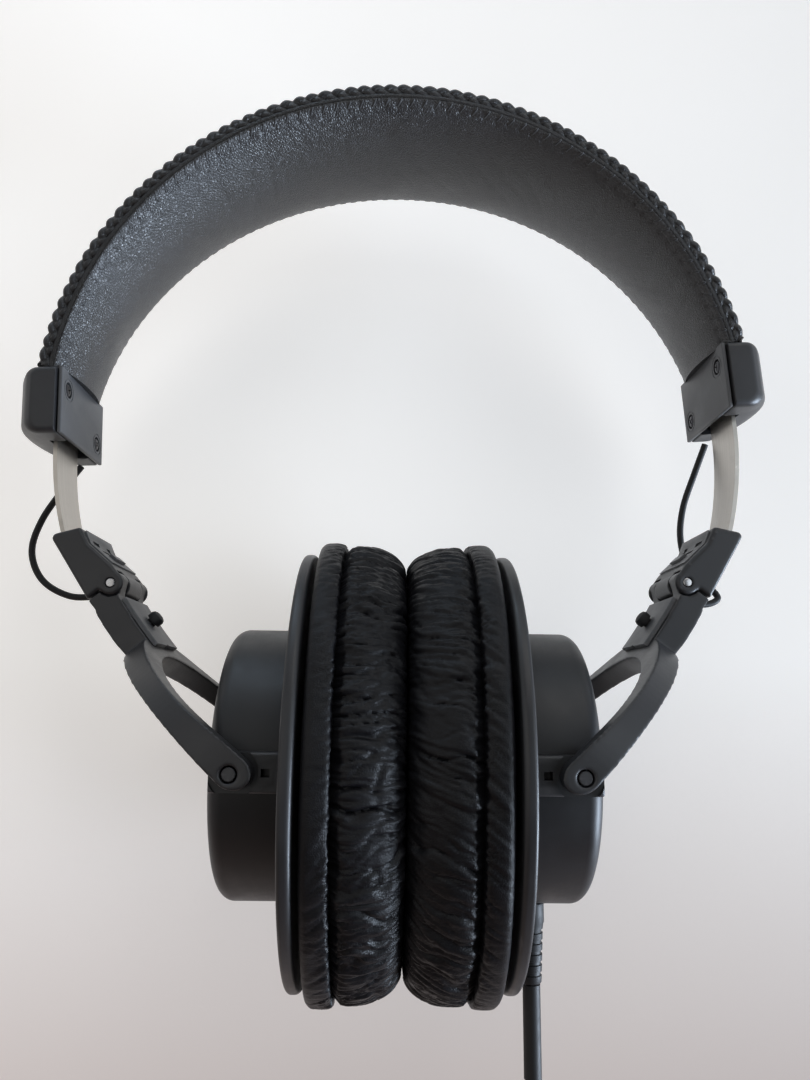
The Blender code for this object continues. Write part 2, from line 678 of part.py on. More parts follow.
def build_driver(materials, side, sign, tilt):
    foam = disc([(18.5, 0), (18.5, 17.6), (19.8, 17.6), (19.8, 0)], 24, PIVOT_X)
    place(f"foam_disc_{side}", foam, materials["foam"], tilt, sign)
    grille = place(f"driver_grille_{side}", grille_mesh(), materials["satin_plastic"], tilt, sign)
    holes = bmesh.new()
    for ring_radius, count in ((6.5, 4), (12.5, 8)):
        for k in range(count):
            a = 2 * pi * k / count
            spot = Vector((0, ring_radius * cos(a), ring_radius * sin(a)))
            hole = rod(spot + Vector((20 - PIVOT_X, 0, 0)), spot + Vector((21.4 - PIVOT_X, 0, 0)), 1.7, 6)
            piece = bpy.data.meshes.new("hole")
            hole.to_mesh(piece)
            hole.free()
            holes.from_mesh(piece)
    cut(grille, place(f"cutter_grille_{side}", holes, materials["foam"], tilt, sign))
    film = disc([(22.5, 0), (22.0, 5.5), (21.6, 9.0), (22.3, 13.0), (21.7, 16.2), (21.9, 16.2),
                 (22.5, 13.0), (21.8, 9.0), (22.2, 5.5), (22.7, 0)], 16, PIVOT_X)
    place(f"diaphragm_{side}", film, materials["film"], tilt, sign)
    basket = lathe([(21.5, 16.8), (21.5, 17.9), (22.6, 17.9), (25.5, 14.0), (27.0, 13.6),
                    (27.0, 11.4), (25.0, 11.4), (23.4, 15.2)], 20, PIVOT_X)
    place(f"driver_basket_{side}", basket, materials["grey_plastic"], tilt, sign)
    magnet = disc([(23.9, 0), (23.9, 11.0), (29.0, 11.0), (29.5, 10.4), (29.5, 0)], 20, PIVOT_X)
    place(f"magnet_{side}", magnet, materials["magnet_metal"], tilt, sign)


def build_cup(materials, side, sign, tilt):
    build_housing(materials, side, sign, tilt)
    build_front_plate(materials, side, sign, tilt)
    build_driver(materials, side, sign, tilt)
    pad = place(f"ear_pad_{side}", pad_mesh(), materials["pad_leather"], tilt, sign, smooth=70)
    return pad


# --- cables ------------------------------------------------------------------------------------------------


def build_wire(materials, side, sign, cups):
    """A thin wire from under the end cap to the back of the arm block, in the cups' frame."""
    routes = {
        "left": [(80.3, 9.3, 69.0), (84.0, 10.5, 64.5), (89.5, 11.5, 56.0), (91.5, 12.0, 48.0),
                 (88.5, 12.6, 41.0), (81.5, 12.8, 37.2), (74.0, 12.2, 37.6)],
        "right": [(75.4, 9.3, 77.6), (72.6, 10.5, 70.0), (69.9, 11.8, 62.0), (69.0, 12.6, 54.5),
                  (70.5, 13.2, 48.0), (75.0, 13.6, 43.0), (77.6, 12.9, 39.0), (73.0, 12.2, 37.4)],
    }
    path = smooth_path(routes[side], 3)
    place(f"signal_wire_{side}", tube(path, 0.8), materials["black_rubber"], cups, sign, smooth=80)


def build_cord(materials, tilt):
    x = 27.5 - PIVOT_X
    sleeve = disc([(0, 0), (0, 2.9), (4.0, 2.9), (4.4, 2.6), (15.5, 2.2), (16.0, 1.9), (16.0, 0)], 24)
    sleeve.transform(
        Matrix.Translation((x, 0, -HOUSING_RADIUS - GAP)) @ Matrix.Rotation(radians(90), 4, "Y")
    )
    place("strain_relief", sleeve, materials["black_rubber"], tilt)
    low = -HOUSING_RADIUS - 2 * GAP - 16.0
    cord = rod((x, 0, low), (x, 0, low - 18.0), 1.85, 16)
    place("cord", cord, materials["black_rubber"], tilt)


# --- assembly ------------------------------------------------------------------------------------------------


def main():
    clear_scene()
    materials = make_materials()
    centre = Vector((ARC_X, 0, -ARC_DROP)) * MM
    cups = add_empty("cups_level", Matrix.Translation((0, 0, -(ARC_DROP + CUP_DROP) * MM)))
    band = add_empty(
        "band_axis", Matrix.Translation(centre) @ Matrix.Rotation(BAND_ROLL, 4, "Y")
    )
    build_headband(materials, band)
    for side, sign in SIDES.items():
        build_cap(materials, side, sign, band)
        strip = strip_mesh(side)
        place(f"slider_strip_{side}", strip, materials["strip_steel"], band, sign)
        pivot = Matrix.Translation((sign * PIVOT_X * MM, 0, 0))
        tilt = add_empty(f"tilt_axis_{side}", pivot, cups)
        lean = Matrix.Rotation(sign * YOKE_LEAN[side], 4, "Y")
        pin = Matrix.Translation((0, 0, FOLD_PIN_S * MM))
        fold = add_empty(f"fold_axis_{side}", pivot @ lean @ pin, cups)
        build_block(materials, side, sign, fold, band)
        build_yoke(materials, side, sign, fold)
        build_cup(materials, side, sign, tilt)
        build_wire(materials, side, sign, cups)
        if side == "right":
            build_cord(materials, tilt)


main()
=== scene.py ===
"""The looks of a pair of folding over-ear headphones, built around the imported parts.

Shapes are made in millimetres in each part's own frame, for the +X side, and mirrored for the other:
the band's frame sits at the centre of the arc that the slider strips follow, a cup's frame at its
pivot, and a yoke's frame at its fold pin, with z along the yoke and x (called n) outward.
"""

import json
from math import atan2, cos, exp, hypot, pi, radians, sin, sqrt, tan

import bmesh
import bpy
import numpy as np
from mathutils import Matrix, Vector, noise
from mathutils.kdtree import KDTree


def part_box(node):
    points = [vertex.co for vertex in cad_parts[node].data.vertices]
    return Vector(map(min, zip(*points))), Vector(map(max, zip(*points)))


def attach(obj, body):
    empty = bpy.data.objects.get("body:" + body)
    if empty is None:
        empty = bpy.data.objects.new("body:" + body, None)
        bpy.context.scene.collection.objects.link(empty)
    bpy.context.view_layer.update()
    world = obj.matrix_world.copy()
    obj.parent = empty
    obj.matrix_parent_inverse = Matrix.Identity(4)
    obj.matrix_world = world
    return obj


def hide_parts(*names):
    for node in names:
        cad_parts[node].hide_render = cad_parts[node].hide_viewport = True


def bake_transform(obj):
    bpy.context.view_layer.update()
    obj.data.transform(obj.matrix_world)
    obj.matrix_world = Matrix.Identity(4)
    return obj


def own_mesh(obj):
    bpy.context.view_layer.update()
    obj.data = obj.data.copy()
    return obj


MM = 0.001
SIDES = {"left": -1, "right": 1}

# --- headband (mm) ---
BAND_REACH = radians(77.25)  # from the crown to just inside each end cap
HALF_WIDTH_END = 13.0
HALF_WIDTH_GROWTH = 7.0
BRAID_RADIUS = 1.95
BRAID_ARC = 81.2
BRAID_PITCH = 3.1  # between the bumps along each of the braid's rims
COVER_INNER, COVER_OUTER = 80.3, 81.7
COVER_DROP = 1.0
PAD_OUTER, PAD_SHOULDER = 77.85, 78.95
CHANNEL = 8.8  # half width of the spring's channel, between pad and cover

# --- end caps (mm) ---
CAP_LOW, CAP_HIGH = 1.8, 17.5
CAP_IN, CAP_OUT, CAP_DOME = 75.9, 82.4, 87.2
CAP_HALF_WIDTH = 14.0
PLATE_IN, PLATE_OUT = 74.7, 75.6
PLATE_HALF_WIDTH = 13.15
CAP_SCREWS = {"upper": (-9.3, 13.0), "lower": (9.3, 6.2)}

# --- yokes and arm blocks (mm) ---
TINE_IN, TINE_OUT = 33.3, 36.9
CROTCH_S = 30.6
TIP_REACH = 3.6
STEM_HALF_WIDTH = 9.6
BLOCK_HALF_WIDTH = 9.9
KNUCKLE_RADIUS, KNUCKLE_SPLIT = 2.7, 4.6
PIN_RADIUS, PIN_REACH = 0.95, 9.75
BUMPER_S = 39.6
PIVOT_RADIUS = 1.25
GAP = 0.3

# --- cups (mm, x from the plane where the pads meet) ---
HOUSING_RADIUS, HOUSING_WALL = 28.4, 1.6
HOUSING_IN, HOUSING_OUT = 22.8, 37.5
RIM_IN, RIM_OUT = 19.9, 22.5
RIM_Y, RIM_Z = 41.4, 45.5
RIM_HOLE = 18.6
DISC_RADIUS = 22.0
BOSS_HALF_HEIGHT, BOSS_FACE = 3.6, 32.9
RECESS_RADIUS = 4.7
CORD_X, CORD_RADIUS, CORD_LENGTH = 27.5, 1.85, 18.0
SLEEVE_LENGTH = 16.0
PAD_BACK, PAD_SEAM = 19.5, 13.1
PAD_Y, PAD_Z = 41.9, 49.0
PAD_HOLE_Y, PAD_HOLE_Z = 19.0, 27.0
CONTACT = 0.15  # each pad's face stays this far from the plane where they meet

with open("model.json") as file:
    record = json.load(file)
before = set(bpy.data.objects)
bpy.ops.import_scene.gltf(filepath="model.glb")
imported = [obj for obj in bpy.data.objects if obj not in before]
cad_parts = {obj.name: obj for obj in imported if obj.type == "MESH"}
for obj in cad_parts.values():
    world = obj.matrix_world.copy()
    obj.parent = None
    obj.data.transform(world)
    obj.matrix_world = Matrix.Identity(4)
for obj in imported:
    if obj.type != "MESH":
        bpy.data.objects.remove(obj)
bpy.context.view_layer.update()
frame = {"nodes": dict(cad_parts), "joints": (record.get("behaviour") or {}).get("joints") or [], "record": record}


# --- frames of reference ---


def middle(node):
    low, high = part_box(node)
    return (low + high) / 2


def reference_frames():
    """The parts' own frames in the row frame, from the joints and from the caps' places."""
    joints = {j["name"]: Vector(j["pos_m"]) for j in frame["joints"]}
    across = middle("cap_inner_plate_right") - middle("cap_inner_plate_left")
    roll = Matrix.Rotation(-atan2(across.z, across.x), 4, "Y")
    frames = {"band": Matrix.Translation(joints["slider_left"]) @ roll}
    for side in SIDES:
        pivot, pin = joints[f"tilt_{side}"], joints[f"fold_{side}"]
        lean = Matrix.Rotation(atan2(pin.x - pivot.x, pin.z - pivot.z), 4, "Y")
        frames[f"cup_{side}"] = Matrix.Translation(pivot)
        frames[f"fold_{side}"] = Matrix.Translation(pin) @ lean
    return frames


FRAMES = reference_frames()
PIVOT_X = FRAMES["cup_right"].translation.x / MM
FOLD_S = (FRAMES["fold_right"].translation - FRAMES["cup_right"].translation).length / MM


# --- mesh tools ---


def wave(*place):
    """Smooth noise from -1 to 1 at a place."""
    return noise.noise(Vector(place))


def turns(segments):
    return [2 * pi * k / segments for k in range(segments)]


def outward(bm):
    bmesh.ops.recalc_face_normals(bm, faces=bm.faces)
    return bm


def fillet(points, radii, steps=6):
    """Rounds an outline's corners; radii is one number, or one for each corner."""
    if not isinstance(radii, (list, tuple)):
        radii = [radii] * len(points)
    rounded = []
    count = len(points)
    for i, radius in enumerate(radii):
        corner = Vector(points[i])
        before = Vector(points[i - 1]) - corner
        after = Vector(points[(i + 1) % count]) - corner
        half = before.angle(after) / 2
        if radius <= 0 or half > pi / 2 - 0.02:
            rounded.append(tuple(corner))
            continue
        reach = min(radius / tan(half), before.length * 0.49, after.length * 0.49)
        radius = reach * tan(half)
        start = corner + before.normalized() * reach
        end = corner + after.normalized() * reach
        inward = (before.normalized() + after.normalized()).normalized()
        centre = corner + inward * radius / sin(half)
        arm, sweep = start - centre, (start - centre).angle_signed(end - centre)
        for k in range(steps + 1):
            a = -sweep * k / steps
            turned = (arm.x * cos(a) - arm.y * sin(a), arm.x * sin(a) + arm.y * cos(a))
            rounded.append((centre.x + turned[0], centre.y + turned[1]))
    return rounded


def loft(sections, closed=False):
    """Skins a list of equally long closed rings of points; open lofts get flat end faces."""
    bm = bmesh.new()
    rings = [[bm.verts.new(point) for point in ring] for ring in sections]
    count = len(rings[0])
    pairs = list(zip(rings, rings[1:]))
    if closed:
        pairs.append((rings[-1], rings[0]))
    for ring, following in pairs:
        for i in range(count):
            j = (i + 1) % count
            bm.faces.new((ring[i], ring[j], following[j], following[i]))
    if not closed:
        bm.faces.new(rings[0])
        bm.faces.new(rings[-1])
    return outward(bm)


def lathe(profile, segments=160, centre_x=0.0, squeeze=None):
    """Turns a closed (x, radius) outline about the X axis; squeeze(radius) is the share kept in y."""
    rings = []
    for k in range(segments):
        a = 2 * pi * k / segments
        ring = []
        for x, r in profile:
            share = squeeze(r) if squeeze else 1.0
            ring.append((x - centre_x, r * share * cos(a), r * sin(a)))
        rings.append(ring)
    return loft(rings, closed=True)


def knob_shape(profile, segments=64, centre=(0, 0, 0), axis="X"):
    """A solid turned about an axis, from an open (along, radius) outline that ends on the axis."""
    bm = bmesh.new()
    tips = [bm.verts.new((profile[i][0], 0, 0)) for i in (0, -1)]
    rings = []
    for x, r in profile[1:-1]:
        rings.append([bm.verts.new((x, r * cos(a), r * sin(a))) for a in turns(segments)])
    for i in range(segments):
        j = (i + 1) % segments
        bm.faces.new((tips[0], rings[0][i], rings[0][j]))
        bm.faces.new((tips[1], rings[-1][j], rings[-1][i]))
        for ring, following in zip(rings, rings[1:]):
            bm.faces.new((ring[i], ring[j], following[j], following[i]))
    quarter = pi / 2
    facing = {"X": Matrix(), "Y": Matrix.Rotation(quarter, 4, "Z"), "-Z": Matrix.Rotation(quarter, 4, "Y")}
    bm.transform(Matrix.Translation(centre) @ facing[axis])
    return outward(bm)


def box(low, high, bevel=0.0, segments=3):
    bm = bmesh.new()
    bmesh.ops.create_cube(bm, size=1.0)
    low, high = Vector(low), Vector(high)
    bm.transform(Matrix.Translation((low + high) / 2) @ Matrix.Diagonal((*(high - low), 1)))
    if bevel:
        round_edges(bm, bevel, segments)
    return outward(bm)


def round_edges(bm, width, segments=3, sharper_than=30):
    """Bevels every edge that turns by more than an angle in degrees."""
    limit = radians(sharper_than)
    edges = [e for e in bm.edges if len(e.link_faces) == 2 and e.calc_face_angle() > limit]
    bmesh.ops.bevel(
        bm, geom=edges, offset=width, segments=segments, profile=0.5, affect="EDGES", clamp_overlap=True
    )
    return bm


def rod(start, end, radius, segments=48, bevel=0.0):
    """A straight round bar between two points."""
    start, end = Vector(start), Vector(end)
    turn = (end - start).to_track_quat("Z", "Y").to_matrix()
    rings = []
    for centre in (start, end):
        round_it = [Vector((radius * cos(a), radius * sin(a), 0)) for a in turns(segments)]
        rings.append([centre + turn @ point for point in round_it])
    bm = loft(rings)
    if bevel:
        round_edges(bm, bevel, 2, 60)
    return bm


def extrude_y(outline, low, high, bevel=0.0, segments=3):
    """Extrudes an (x, z) outline across y, with rounded long edges if asked."""
    bm = loft([[(x, low, z) for x, z in outline], [(x, high, z) for x, z in outline]])
    if bevel:
        caps = {f for f in bm.faces if abs(f.normal.y) > 0.9}
        edges = [e for e in bm.edges if len(caps & set(e.link_faces)) == 1]
        bmesh.ops.bevel(bm, geom=edges, offset=bevel, segments=segments, profile=0.5, affect="EDGES")
    return outward(bm)


def smooth_path(points, per_span=10):
    """A Catmull-Rom curve through the points."""
    points = [Vector(p) for p in points]
    ends = [2 * points[0] - points[1], *points, 2 * points[-1] - points[-2]]
    path = []
    for a, b, c, d in zip(ends, ends[1:], ends[2:], ends[3:]):
        for k in range(per_span):
            t = k / per_span
            cubic = (2 * a - 5 * b + 4 * c - d) * t**2 + (3 * b - a - 3 * c + d) * t**3
            path.append(0.5 * (2 * b + (c - a) * t + cubic))
    path.append(points[-1])
    return path


def tube(path, radius, segments=16):
    """A round tube along a path, with a frame that never twists."""
    rings = []
    normal = (path[1] - path[0]).orthogonal().normalized()
    for i, centre in enumerate(path):
        along = (path[min(i + 1, len(path) - 1)] - path[max(i - 1, 0)]).normalized()
        normal = (normal - normal.dot(along) * along).normalized()
        across = along.cross(normal)
        around = turns(segments)
        rings.append([centre + radius * (cos(a) * normal + sin(a) * across) for a in around])
    return loft(rings)


def linked(name, mesh):
    thing = bpy.data.objects.new(name, mesh)
    bpy.context.scene.collection.objects.link(thing)
    return thing


def as_object(name, bm):
    """A new linked object with the bmesh's shape; the bmesh is used up."""
    mesh = bpy.data.meshes.new(name)
    bm.to_mesh(mesh)
    bm.free()
    return linked(name, mesh)


def evaluated(thing):
    """The object's shape after its modifiers, as a bmesh."""
    result = bmesh.new()
    result.from_object(thing, bpy.context.evaluated_depsgraph_get())
    return result


def join(parts):
    """One bmesh from several; the parts stay separate shells."""
    whole = bmesh.new()
    for part in parts:
        mesh = bpy.data.meshes.new("part")
        part.to_mesh(mesh)
        part.free()
        whole.from_mesh(mesh)
        bpy.data.meshes.remove(mesh)
    return whole


def combine(base, other, operation="DIFFERENCE"):
    """The Boolean of two bmeshes, as a new one; both are used up."""
    things = [as_object("work", bm) for bm in (base, other)]
    modifier = things[0].modifiers.new("work", "BOOLEAN")
    modifier.operation = operation
    modifier.solver = "EXACT"
    modifier.object = things[1]
    result = evaluated(things[0])
    for thing in things:
        bpy.data.meshes.remove(thing.data)
    return result


def soften(parts, voxel, passes=4):
    """Melts overlapping solids into one moulded shape with slightly rounded edges."""
    thing = as_object("work", join(parts))
    remesh = thing.modifiers.new("melt", "REMESH")
    remesh.mode = "VOXEL"
    remesh.voxel_size = voxel
    smooth = thing.modifiers.new("smooth", "SMOOTH")
    smooth.iterations = passes
    result = evaluated(thing)
    bpy.data.meshes.remove(thing.data)
    return outward(result)


def add_piece(name, bm, material, where, body, nodes=(), side=1, smooth=35):
    """Makes a piece from a bmesh in millimetres, hangs it on the body it rides on and hides the CAD nodes it
    stands for.
    """
    bm.transform(Matrix.Diagonal((side * MM, MM, MM, 1)))
    if side < 0:
        bmesh.ops.reverse_faces(bm, faces=bm.faces)
    bm.transform(where)
    piece = as_object(name, bm)
    piece.data.materials.append(MATERIALS[material])
    piece.data.shade_smooth()
    piece.data.set_sharp_from_angle(angle=radians(smooth))
    if body:
        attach(piece, body)
    if nodes:
        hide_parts(*nodes)
    return piece


def dress(node, suffix, bm, material, where, body, side=1, smooth=35):
    """A piece that stands for one CAD node, named after it."""
    return add_piece(f"{node}_{suffix}", bm, material, where, body, [node], side, smooth)


# --- materials ---


def shade(colour, share):
    return tuple(c * share for c in colour)


class Finish:
    """A procedural material: a Principled shader with patterns sized in millimetres."""

    def __init__(self, name, colour, roughness, metallic=0.0, specular=0.5):
        self.material = bpy.data.materials.new(name)
        self.material.use_nodes = True
        self.tree = self.material.node_tree
        self.shader = self.tree.nodes["Principled BSDF"]
        self.colour, self.roughness = colour, roughness
        self.set("Base Color", (*colour, 1.0))
        self.set("Roughness", roughness)
        self.set("Metallic", metallic)
        self.set("Specular IOR Level", specular)
        self.place = self.node("ShaderNodeTexCoord").outputs["Object"]
        self.normal = None

    def set(self, socket, value):
        self.shader.inputs[socket].default_value = value

    def link(self, source, target):
        self.tree.links.new(source, target)

    def node(self, kind, settings=None, **inputs):
        """Adds a node; an input is a number, or a socket to link from."""
        node = self.tree.nodes.new(kind)
        for key, value in (settings or {}).items():
            setattr(node, key, value)
        for key, value in inputs.items():
            socket = node.inputs[key]
            if isinstance(value, bpy.types.NodeSocket):
                self.link(value, socket)
            else:
                socket.default_value = value
        return node

    def stretched(self, sizes, turn=(0, 0, 0)):
        """Object coordinates divided by a size in millimetres for each axis."""
        scale = tuple(1 / (size * MM) for size in sizes)
        mapping = self.node("ShaderNodeMapping", Vector=self.place, Scale=scale, Rotation=turn)
        return mapping.outputs["Vector"]

    def noise(self, size, detail=2.0, rough=0.5, warp=0.0, turn=(0, 0, 0)):
        """Noise from 0 to 1, with features of a size in millimetres, one number or one per axis."""
        sizes = size if isinstance(size, tuple) else (size,) * 3
        vector = self.stretched(sizes, turn)
        numbers = {"Scale": 1.0, "Detail": detail, "Roughness": rough, "Distortion": warp}
        return self.node("ShaderNodeTexNoise", Vector=vector, **numbers).outputs["Fac"]

    def cells(self, size, warp=0.35):
        """Distance from the borders of rounded cells, about 0 to 0.5, as in leather grain."""
        vector = self.stretched((size,) * 3)
        wobble = self.node("ShaderNodeTexNoise", Vector=vector, Scale=0.9, Detail=1.0)
        shift = self.node("ShaderNodeVectorMath", {"operation": "SCALE"}, Scale=warp)
        self.link(wobble.outputs["Color"], shift.inputs[0])
        total = self.node("ShaderNodeVectorMath", {"operation": "ADD"})
        self.link(vector, total.inputs[0])
        self.link(shift.outputs[0], total.inputs[1])
        made = self.node("ShaderNodeTexVoronoi", {"feature": "DISTANCE_TO_EDGE"}, Scale=1.0)
        self.link(total.outputs[0], made.inputs["Vector"])
        return made.outputs["Distance"]

    def spread(self, source, low, high, start=0.0, end=1.0):
        """Maps low..high of a pattern to start..end."""
        names = {"From Min": low, "From Max": high, "To Min": start, "To Max": end}
        made = self.node("ShaderNodeMapRange", Value=source)
        for key, value in names.items():
            made.inputs[key].default_value = value
        return made.outputs["Result"]

    def add(self, first, second, weight=1.0):
        made = self.node("ShaderNodeMath", {"operation": "MULTIPLY_ADD"})
        self.link(second, made.inputs[0])
        made.inputs[1].default_value = weight
        self.link(first, made.inputs[2])
        return made.outputs[0]

    def bump(self, height, depth):
        """Adds relief of a depth in millimetres on top of what is there."""
        made = self.node("ShaderNodeBump", Height=height, Strength=1.0, Distance=depth * MM)
        if self.normal:
            self.link(self.normal, made.inputs["Normal"])
        self.normal = made.outputs["Normal"]
        self.link(self.normal, self.shader.inputs["Normal"])

    def tint(self, pattern, other):
        """Blends the base colour towards another where the pattern is 1."""
        made = self.node("ShaderNodeMix", {"data_type": "RGBA"})
        self.link(pattern, made.inputs["Factor"])
        before = self.shader.inputs["Base Color"]
        if before.is_linked:
            self.link(before.links[0].from_socket, made.inputs["A"])
        else:
            made.inputs["A"].default_value = (*self.colour, 1.0)
        made.inputs["B"].default_value = (*other, 1.0)
        self.link(made.outputs["Result"], before)

    def polish(self, pattern, low, high):
        """Roughness from low to high over a 0 to 1 pattern."""
        self.link(self.spread(pattern, 0.3, 0.7, low, high), self.shader.inputs["Roughness"])

    def edges(self, amount=0.06):
        """A 0 to 1 mask of the worn, outward-curving edges."""
        point = self.node("ShaderNodeNewGeometry").outputs["Pointiness"]
        return self.spread(point, 0.5 + amount * 0.4, 0.5 + amount * 2)


def leather(name, colour, roughness, grain, depth, specular=0.5, worn=(0.03, 0.03, 0.034)):
    """Coated leather: pebbled cells with fine pores, cloudy colour and shine that varies in patches."""
    finish = Finish(name, colour, roughness, specular=specular)
    cells = finish.cells(grain)
    pebbles = finish.spread(cells, 0.0, 0.28)
    fine = finish.noise(grain * 0.4, detail=3.0)
    clouds = finish.noise(14.0, detail=3.0)
    finish.bump(finish.noise(grain * 5, detail=2.0), depth * 1.5)
    finish.bump(finish.add(pebbles, fine, 0.35), depth)
    # painted shade: the crevices between the grain's pebbles are darkened
    finish.tint(finish.spread(cells, 0.10, 0.0, 0.0, 0.6), shade(colour, 0.45))
    finish.tint(finish.spread(clouds, 0.45, 0.8, 0.0, 0.5), worn)
    finish.polish(finish.add(clouds, fine, 0.3), roughness - 0.06, roughness + 0.1)
    return finish.material


def moulded(name, colour, roughness, texture=0.16, depth=0.012, worn=(0.04, 0.04, 0.043)):
    """Moulded plastic with a spark-eroded texture, faint rubbed patches and lighter edges."""
    finish = Finish(name, colour, roughness)
    fine = finish.noise(texture, detail=2.0, rough=0.6)
    rubbed = finish.noise(9.0, detail=4.0, rough=0.6)
    scuffs = finish.noise((0.25, 6.0, 4.0), detail=3.0, turn=(0.3, 0.5, 0.2))
    finish.bump(fine, depth)
    finish.bump(finish.noise(3.5), depth * 1.5)
    finish.tint(finish.spread(rubbed, 0.5, 0.85, 0.0, 0.35), shade(colour, 1.8))
    finish.tint(finish.edges(), worn)
    finish.polish(finish.add(rubbed, scuffs, 0.25), roughness - 0.07, roughness + 0.07)
    return finish.material


def brushed(name, colour, roughness, along=(0.03, 12.0, 12.0), depth=0.003, stain=None):
    """Metal with fine parallel scratches; along gives the scratches' size on each axis."""
    finish = Finish(name, colour, roughness, metallic=1.0)
    lines = finish.noise(along, detail=4.0, rough=0.7)
    wide = finish.noise(tuple(size * 6 for size in along), detail=2.0)
    marks = finish.noise(5.0, detail=4.0)
    finish.bump(lines, depth)
    finish.tint(finish.spread(wide, 0.35, 0.75, 0.0, 0.45), shade(colour, 0.72))
    finish.tint(finish.spread(marks, 0.6, 0.8, 0.0, 0.5), stain or shade(colour, 0.6))
    finish.polish(lines, roughness - 0.08, roughness + 0.12)
    return finish.material


def rubber(name, colour, roughness):
    """Matt rubber: a fine skin texture and paler dusty patches."""
    finish = Finish(name, colour, roughness, specular=0.35)
    dust = finish.noise(4.0, detail=5.0, rough=0.65)
    finish.bump(finish.noise(0.12, detail=2.0), 0.01)
    finish.tint(finish.spread(dust, 0.5, 0.85, 0.0, 0.5), shade(colour, 2.6))
    finish.polish(dust, roughness - 0.08, roughness + 0.1)
    return finish.material


def plastic_film(name, colour, roughness):
    """Thin plastic film with a shallow pressed mottling."""
    finish = Finish(name, colour, roughness)
    finish.bump(finish.noise((20.0, 0.9, 0.9), detail=2.0), 0.05)
    finish.tint(finish.noise(3.0, detail=3.0), shade(colour, 0.8))
    return finish.material


def open_foam(name, colour, roughness):
    finish = Finish(name, colour, roughness, specular=0.2)
    pores = finish.cells(0.45, warp=0.6)
    finish.bump(finish.spread(pores, 0.0, 0.4), 0.2)
    # painted shade: the low hollows between the foam's cells are darkened
    finish.tint(finish.spread(pores, 0.0, 0.3, 0.8, 0.0), shade(colour, 0.3))
    return finish.material


def thread(name, colour, roughness):
    """Twisted sewing thread."""
    finish = Finish(name, colour, roughness)
    finish.bump(finish.noise((0.12, 0.5, 0.12), detail=2.0), 0.03)
    finish.tint(finish.noise(0.5, detail=2.0), shade(colour, 2.2))
    finish.set("Sheen Weight", 0.3)
    return finish.material


def table_top(name, colour, roughness):
    """A pale laminate with the faintest mottling, open from behind so that it hides nothing there. Painted shade
    darkens it towards the bottom, and painted light makes it glow, more on the left than the right.
    """
    finish = Finish(name, colour, roughness, specular=0.3)
    clouds, specks = finish.noise(70.0, detail=4.0), finish.noise(1.2, detail=3.0)
    finish.tint(finish.spread(clouds, 0.4, 0.8, 0.0, 0.35), shade(colour, 0.93))
    finish.tint(finish.spread(specks, 0.5, 0.9, 0.0, 0.3), shade(colour, 0.94))
    split = finish.node("ShaderNodeSeparateXYZ", Vector=finish.place)
    # painted shade: a darker, warmer tone towards the bottom, in place of the light falling off there
    dim = tuple(c * share for c, share in zip(colour, (0.53, 0.46, 0.44)))
    finish.tint(finish.spread(split.outputs["Z"], -0.12, -0.25), dim)
    # painted light: the table glows with its own colour, more strongly on the left than the right
    base = finish.shader.inputs["Base Color"].links[0].from_socket
    finish.link(base, finish.shader.inputs["Emission Color"])
    painted_glow = finish.spread(split.outputs["X"], -0.10, 0.14, 0.60, 0.32)
    finish.link(painted_glow, finish.shader.inputs["Emission Strength"])
    clear = finish.node("ShaderNodeBsdfTransparent")
    behind = finish.node("ShaderNodeNewGeometry").outputs["Backfacing"]
    mix = finish.node("ShaderNodeMixShader")
    finish.link(behind, mix.inputs[0])
    finish.link(finish.shader.outputs[0], mix.inputs[1])
    finish.link(clear.outputs[0], mix.inputs[2])
    output = finish.tree.nodes["Material Output"]
    finish.link(mix.outputs[0], output.inputs["Surface"])
    return finish.material


def make_materials():
    return {
        "band_leather": leather("band_leather", (0.012, 0.0125, 0.0145), 0.34, 0.55, 0.075, 0.8),
        "braid_leather": leather("braid_leather", (0.008, 0.008, 0.009), 0.30, 0.5, 0.05),
        "pad_leather": leather(
            "pad_leather", (0.005, 0.005, 0.0062), 0.33, 0.4, 0.025, 0.22, (0.012, 0.012, 0.014)
        ),
        "satin_plastic": moulded("satin_plastic", (0.016, 0.0162, 0.018), 0.38),
        "grey_plastic": moulded("grey_plastic", (0.052, 0.054, 0.058), 0.46, worn=(0.12, 0.12, 0.125)),
        "housing_plastic": moulded("housing_plastic", (0.009, 0.0095, 0.011), 0.42),
        "black_rubber": rubber("black_rubber", (0.012, 0.012, 0.013), 0.55),
        "strip_steel": brushed("strip_steel", (0.50, 0.47, 0.43), 0.34, along=(8.0, 0.05, 9.0)),
        "spring_steel": brushed("spring_steel", (0.30, 0.30, 0.31), 0.38),
        "pin_steel": brushed("pin_steel", (0.55, 0.55, 0.56), 0.25, along=(0.05, 8.0, 0.05)),
        "screw_steel": brushed("screw_steel", (0.045, 0.045, 0.05), 0.33, along=(1.0, 0.08, 0.08)),
        "magnet_metal": brushed("magnet_metal", (0.25, 0.25, 0.26), 0.42, along=(0.1, 2.0, 2.0)),
        "film": plastic_film("film", (0.42, 0.40, 0.35), 0.3),
        "foam": open_foam("foam", (0.02, 0.02, 0.02), 0.95),
        "thread": thread("thread", (0.010, 0.010, 0.011), 0.6),
        "table": table_top("table", (0.78, 0.76, 0.735), 0.55),
    }


MATERIALS = make_materials()


# --- headband ---


def half_width(angle):
    """The band's half width, braid included: widest at the crown."""
    return HALF_WIDTH_END + HALF_WIDTH_GROWTH * cos(1.07 * angle)


def on_arc(radius, y, angle):
    return Vector((radius * sin(angle), y, radius * cos(angle)))


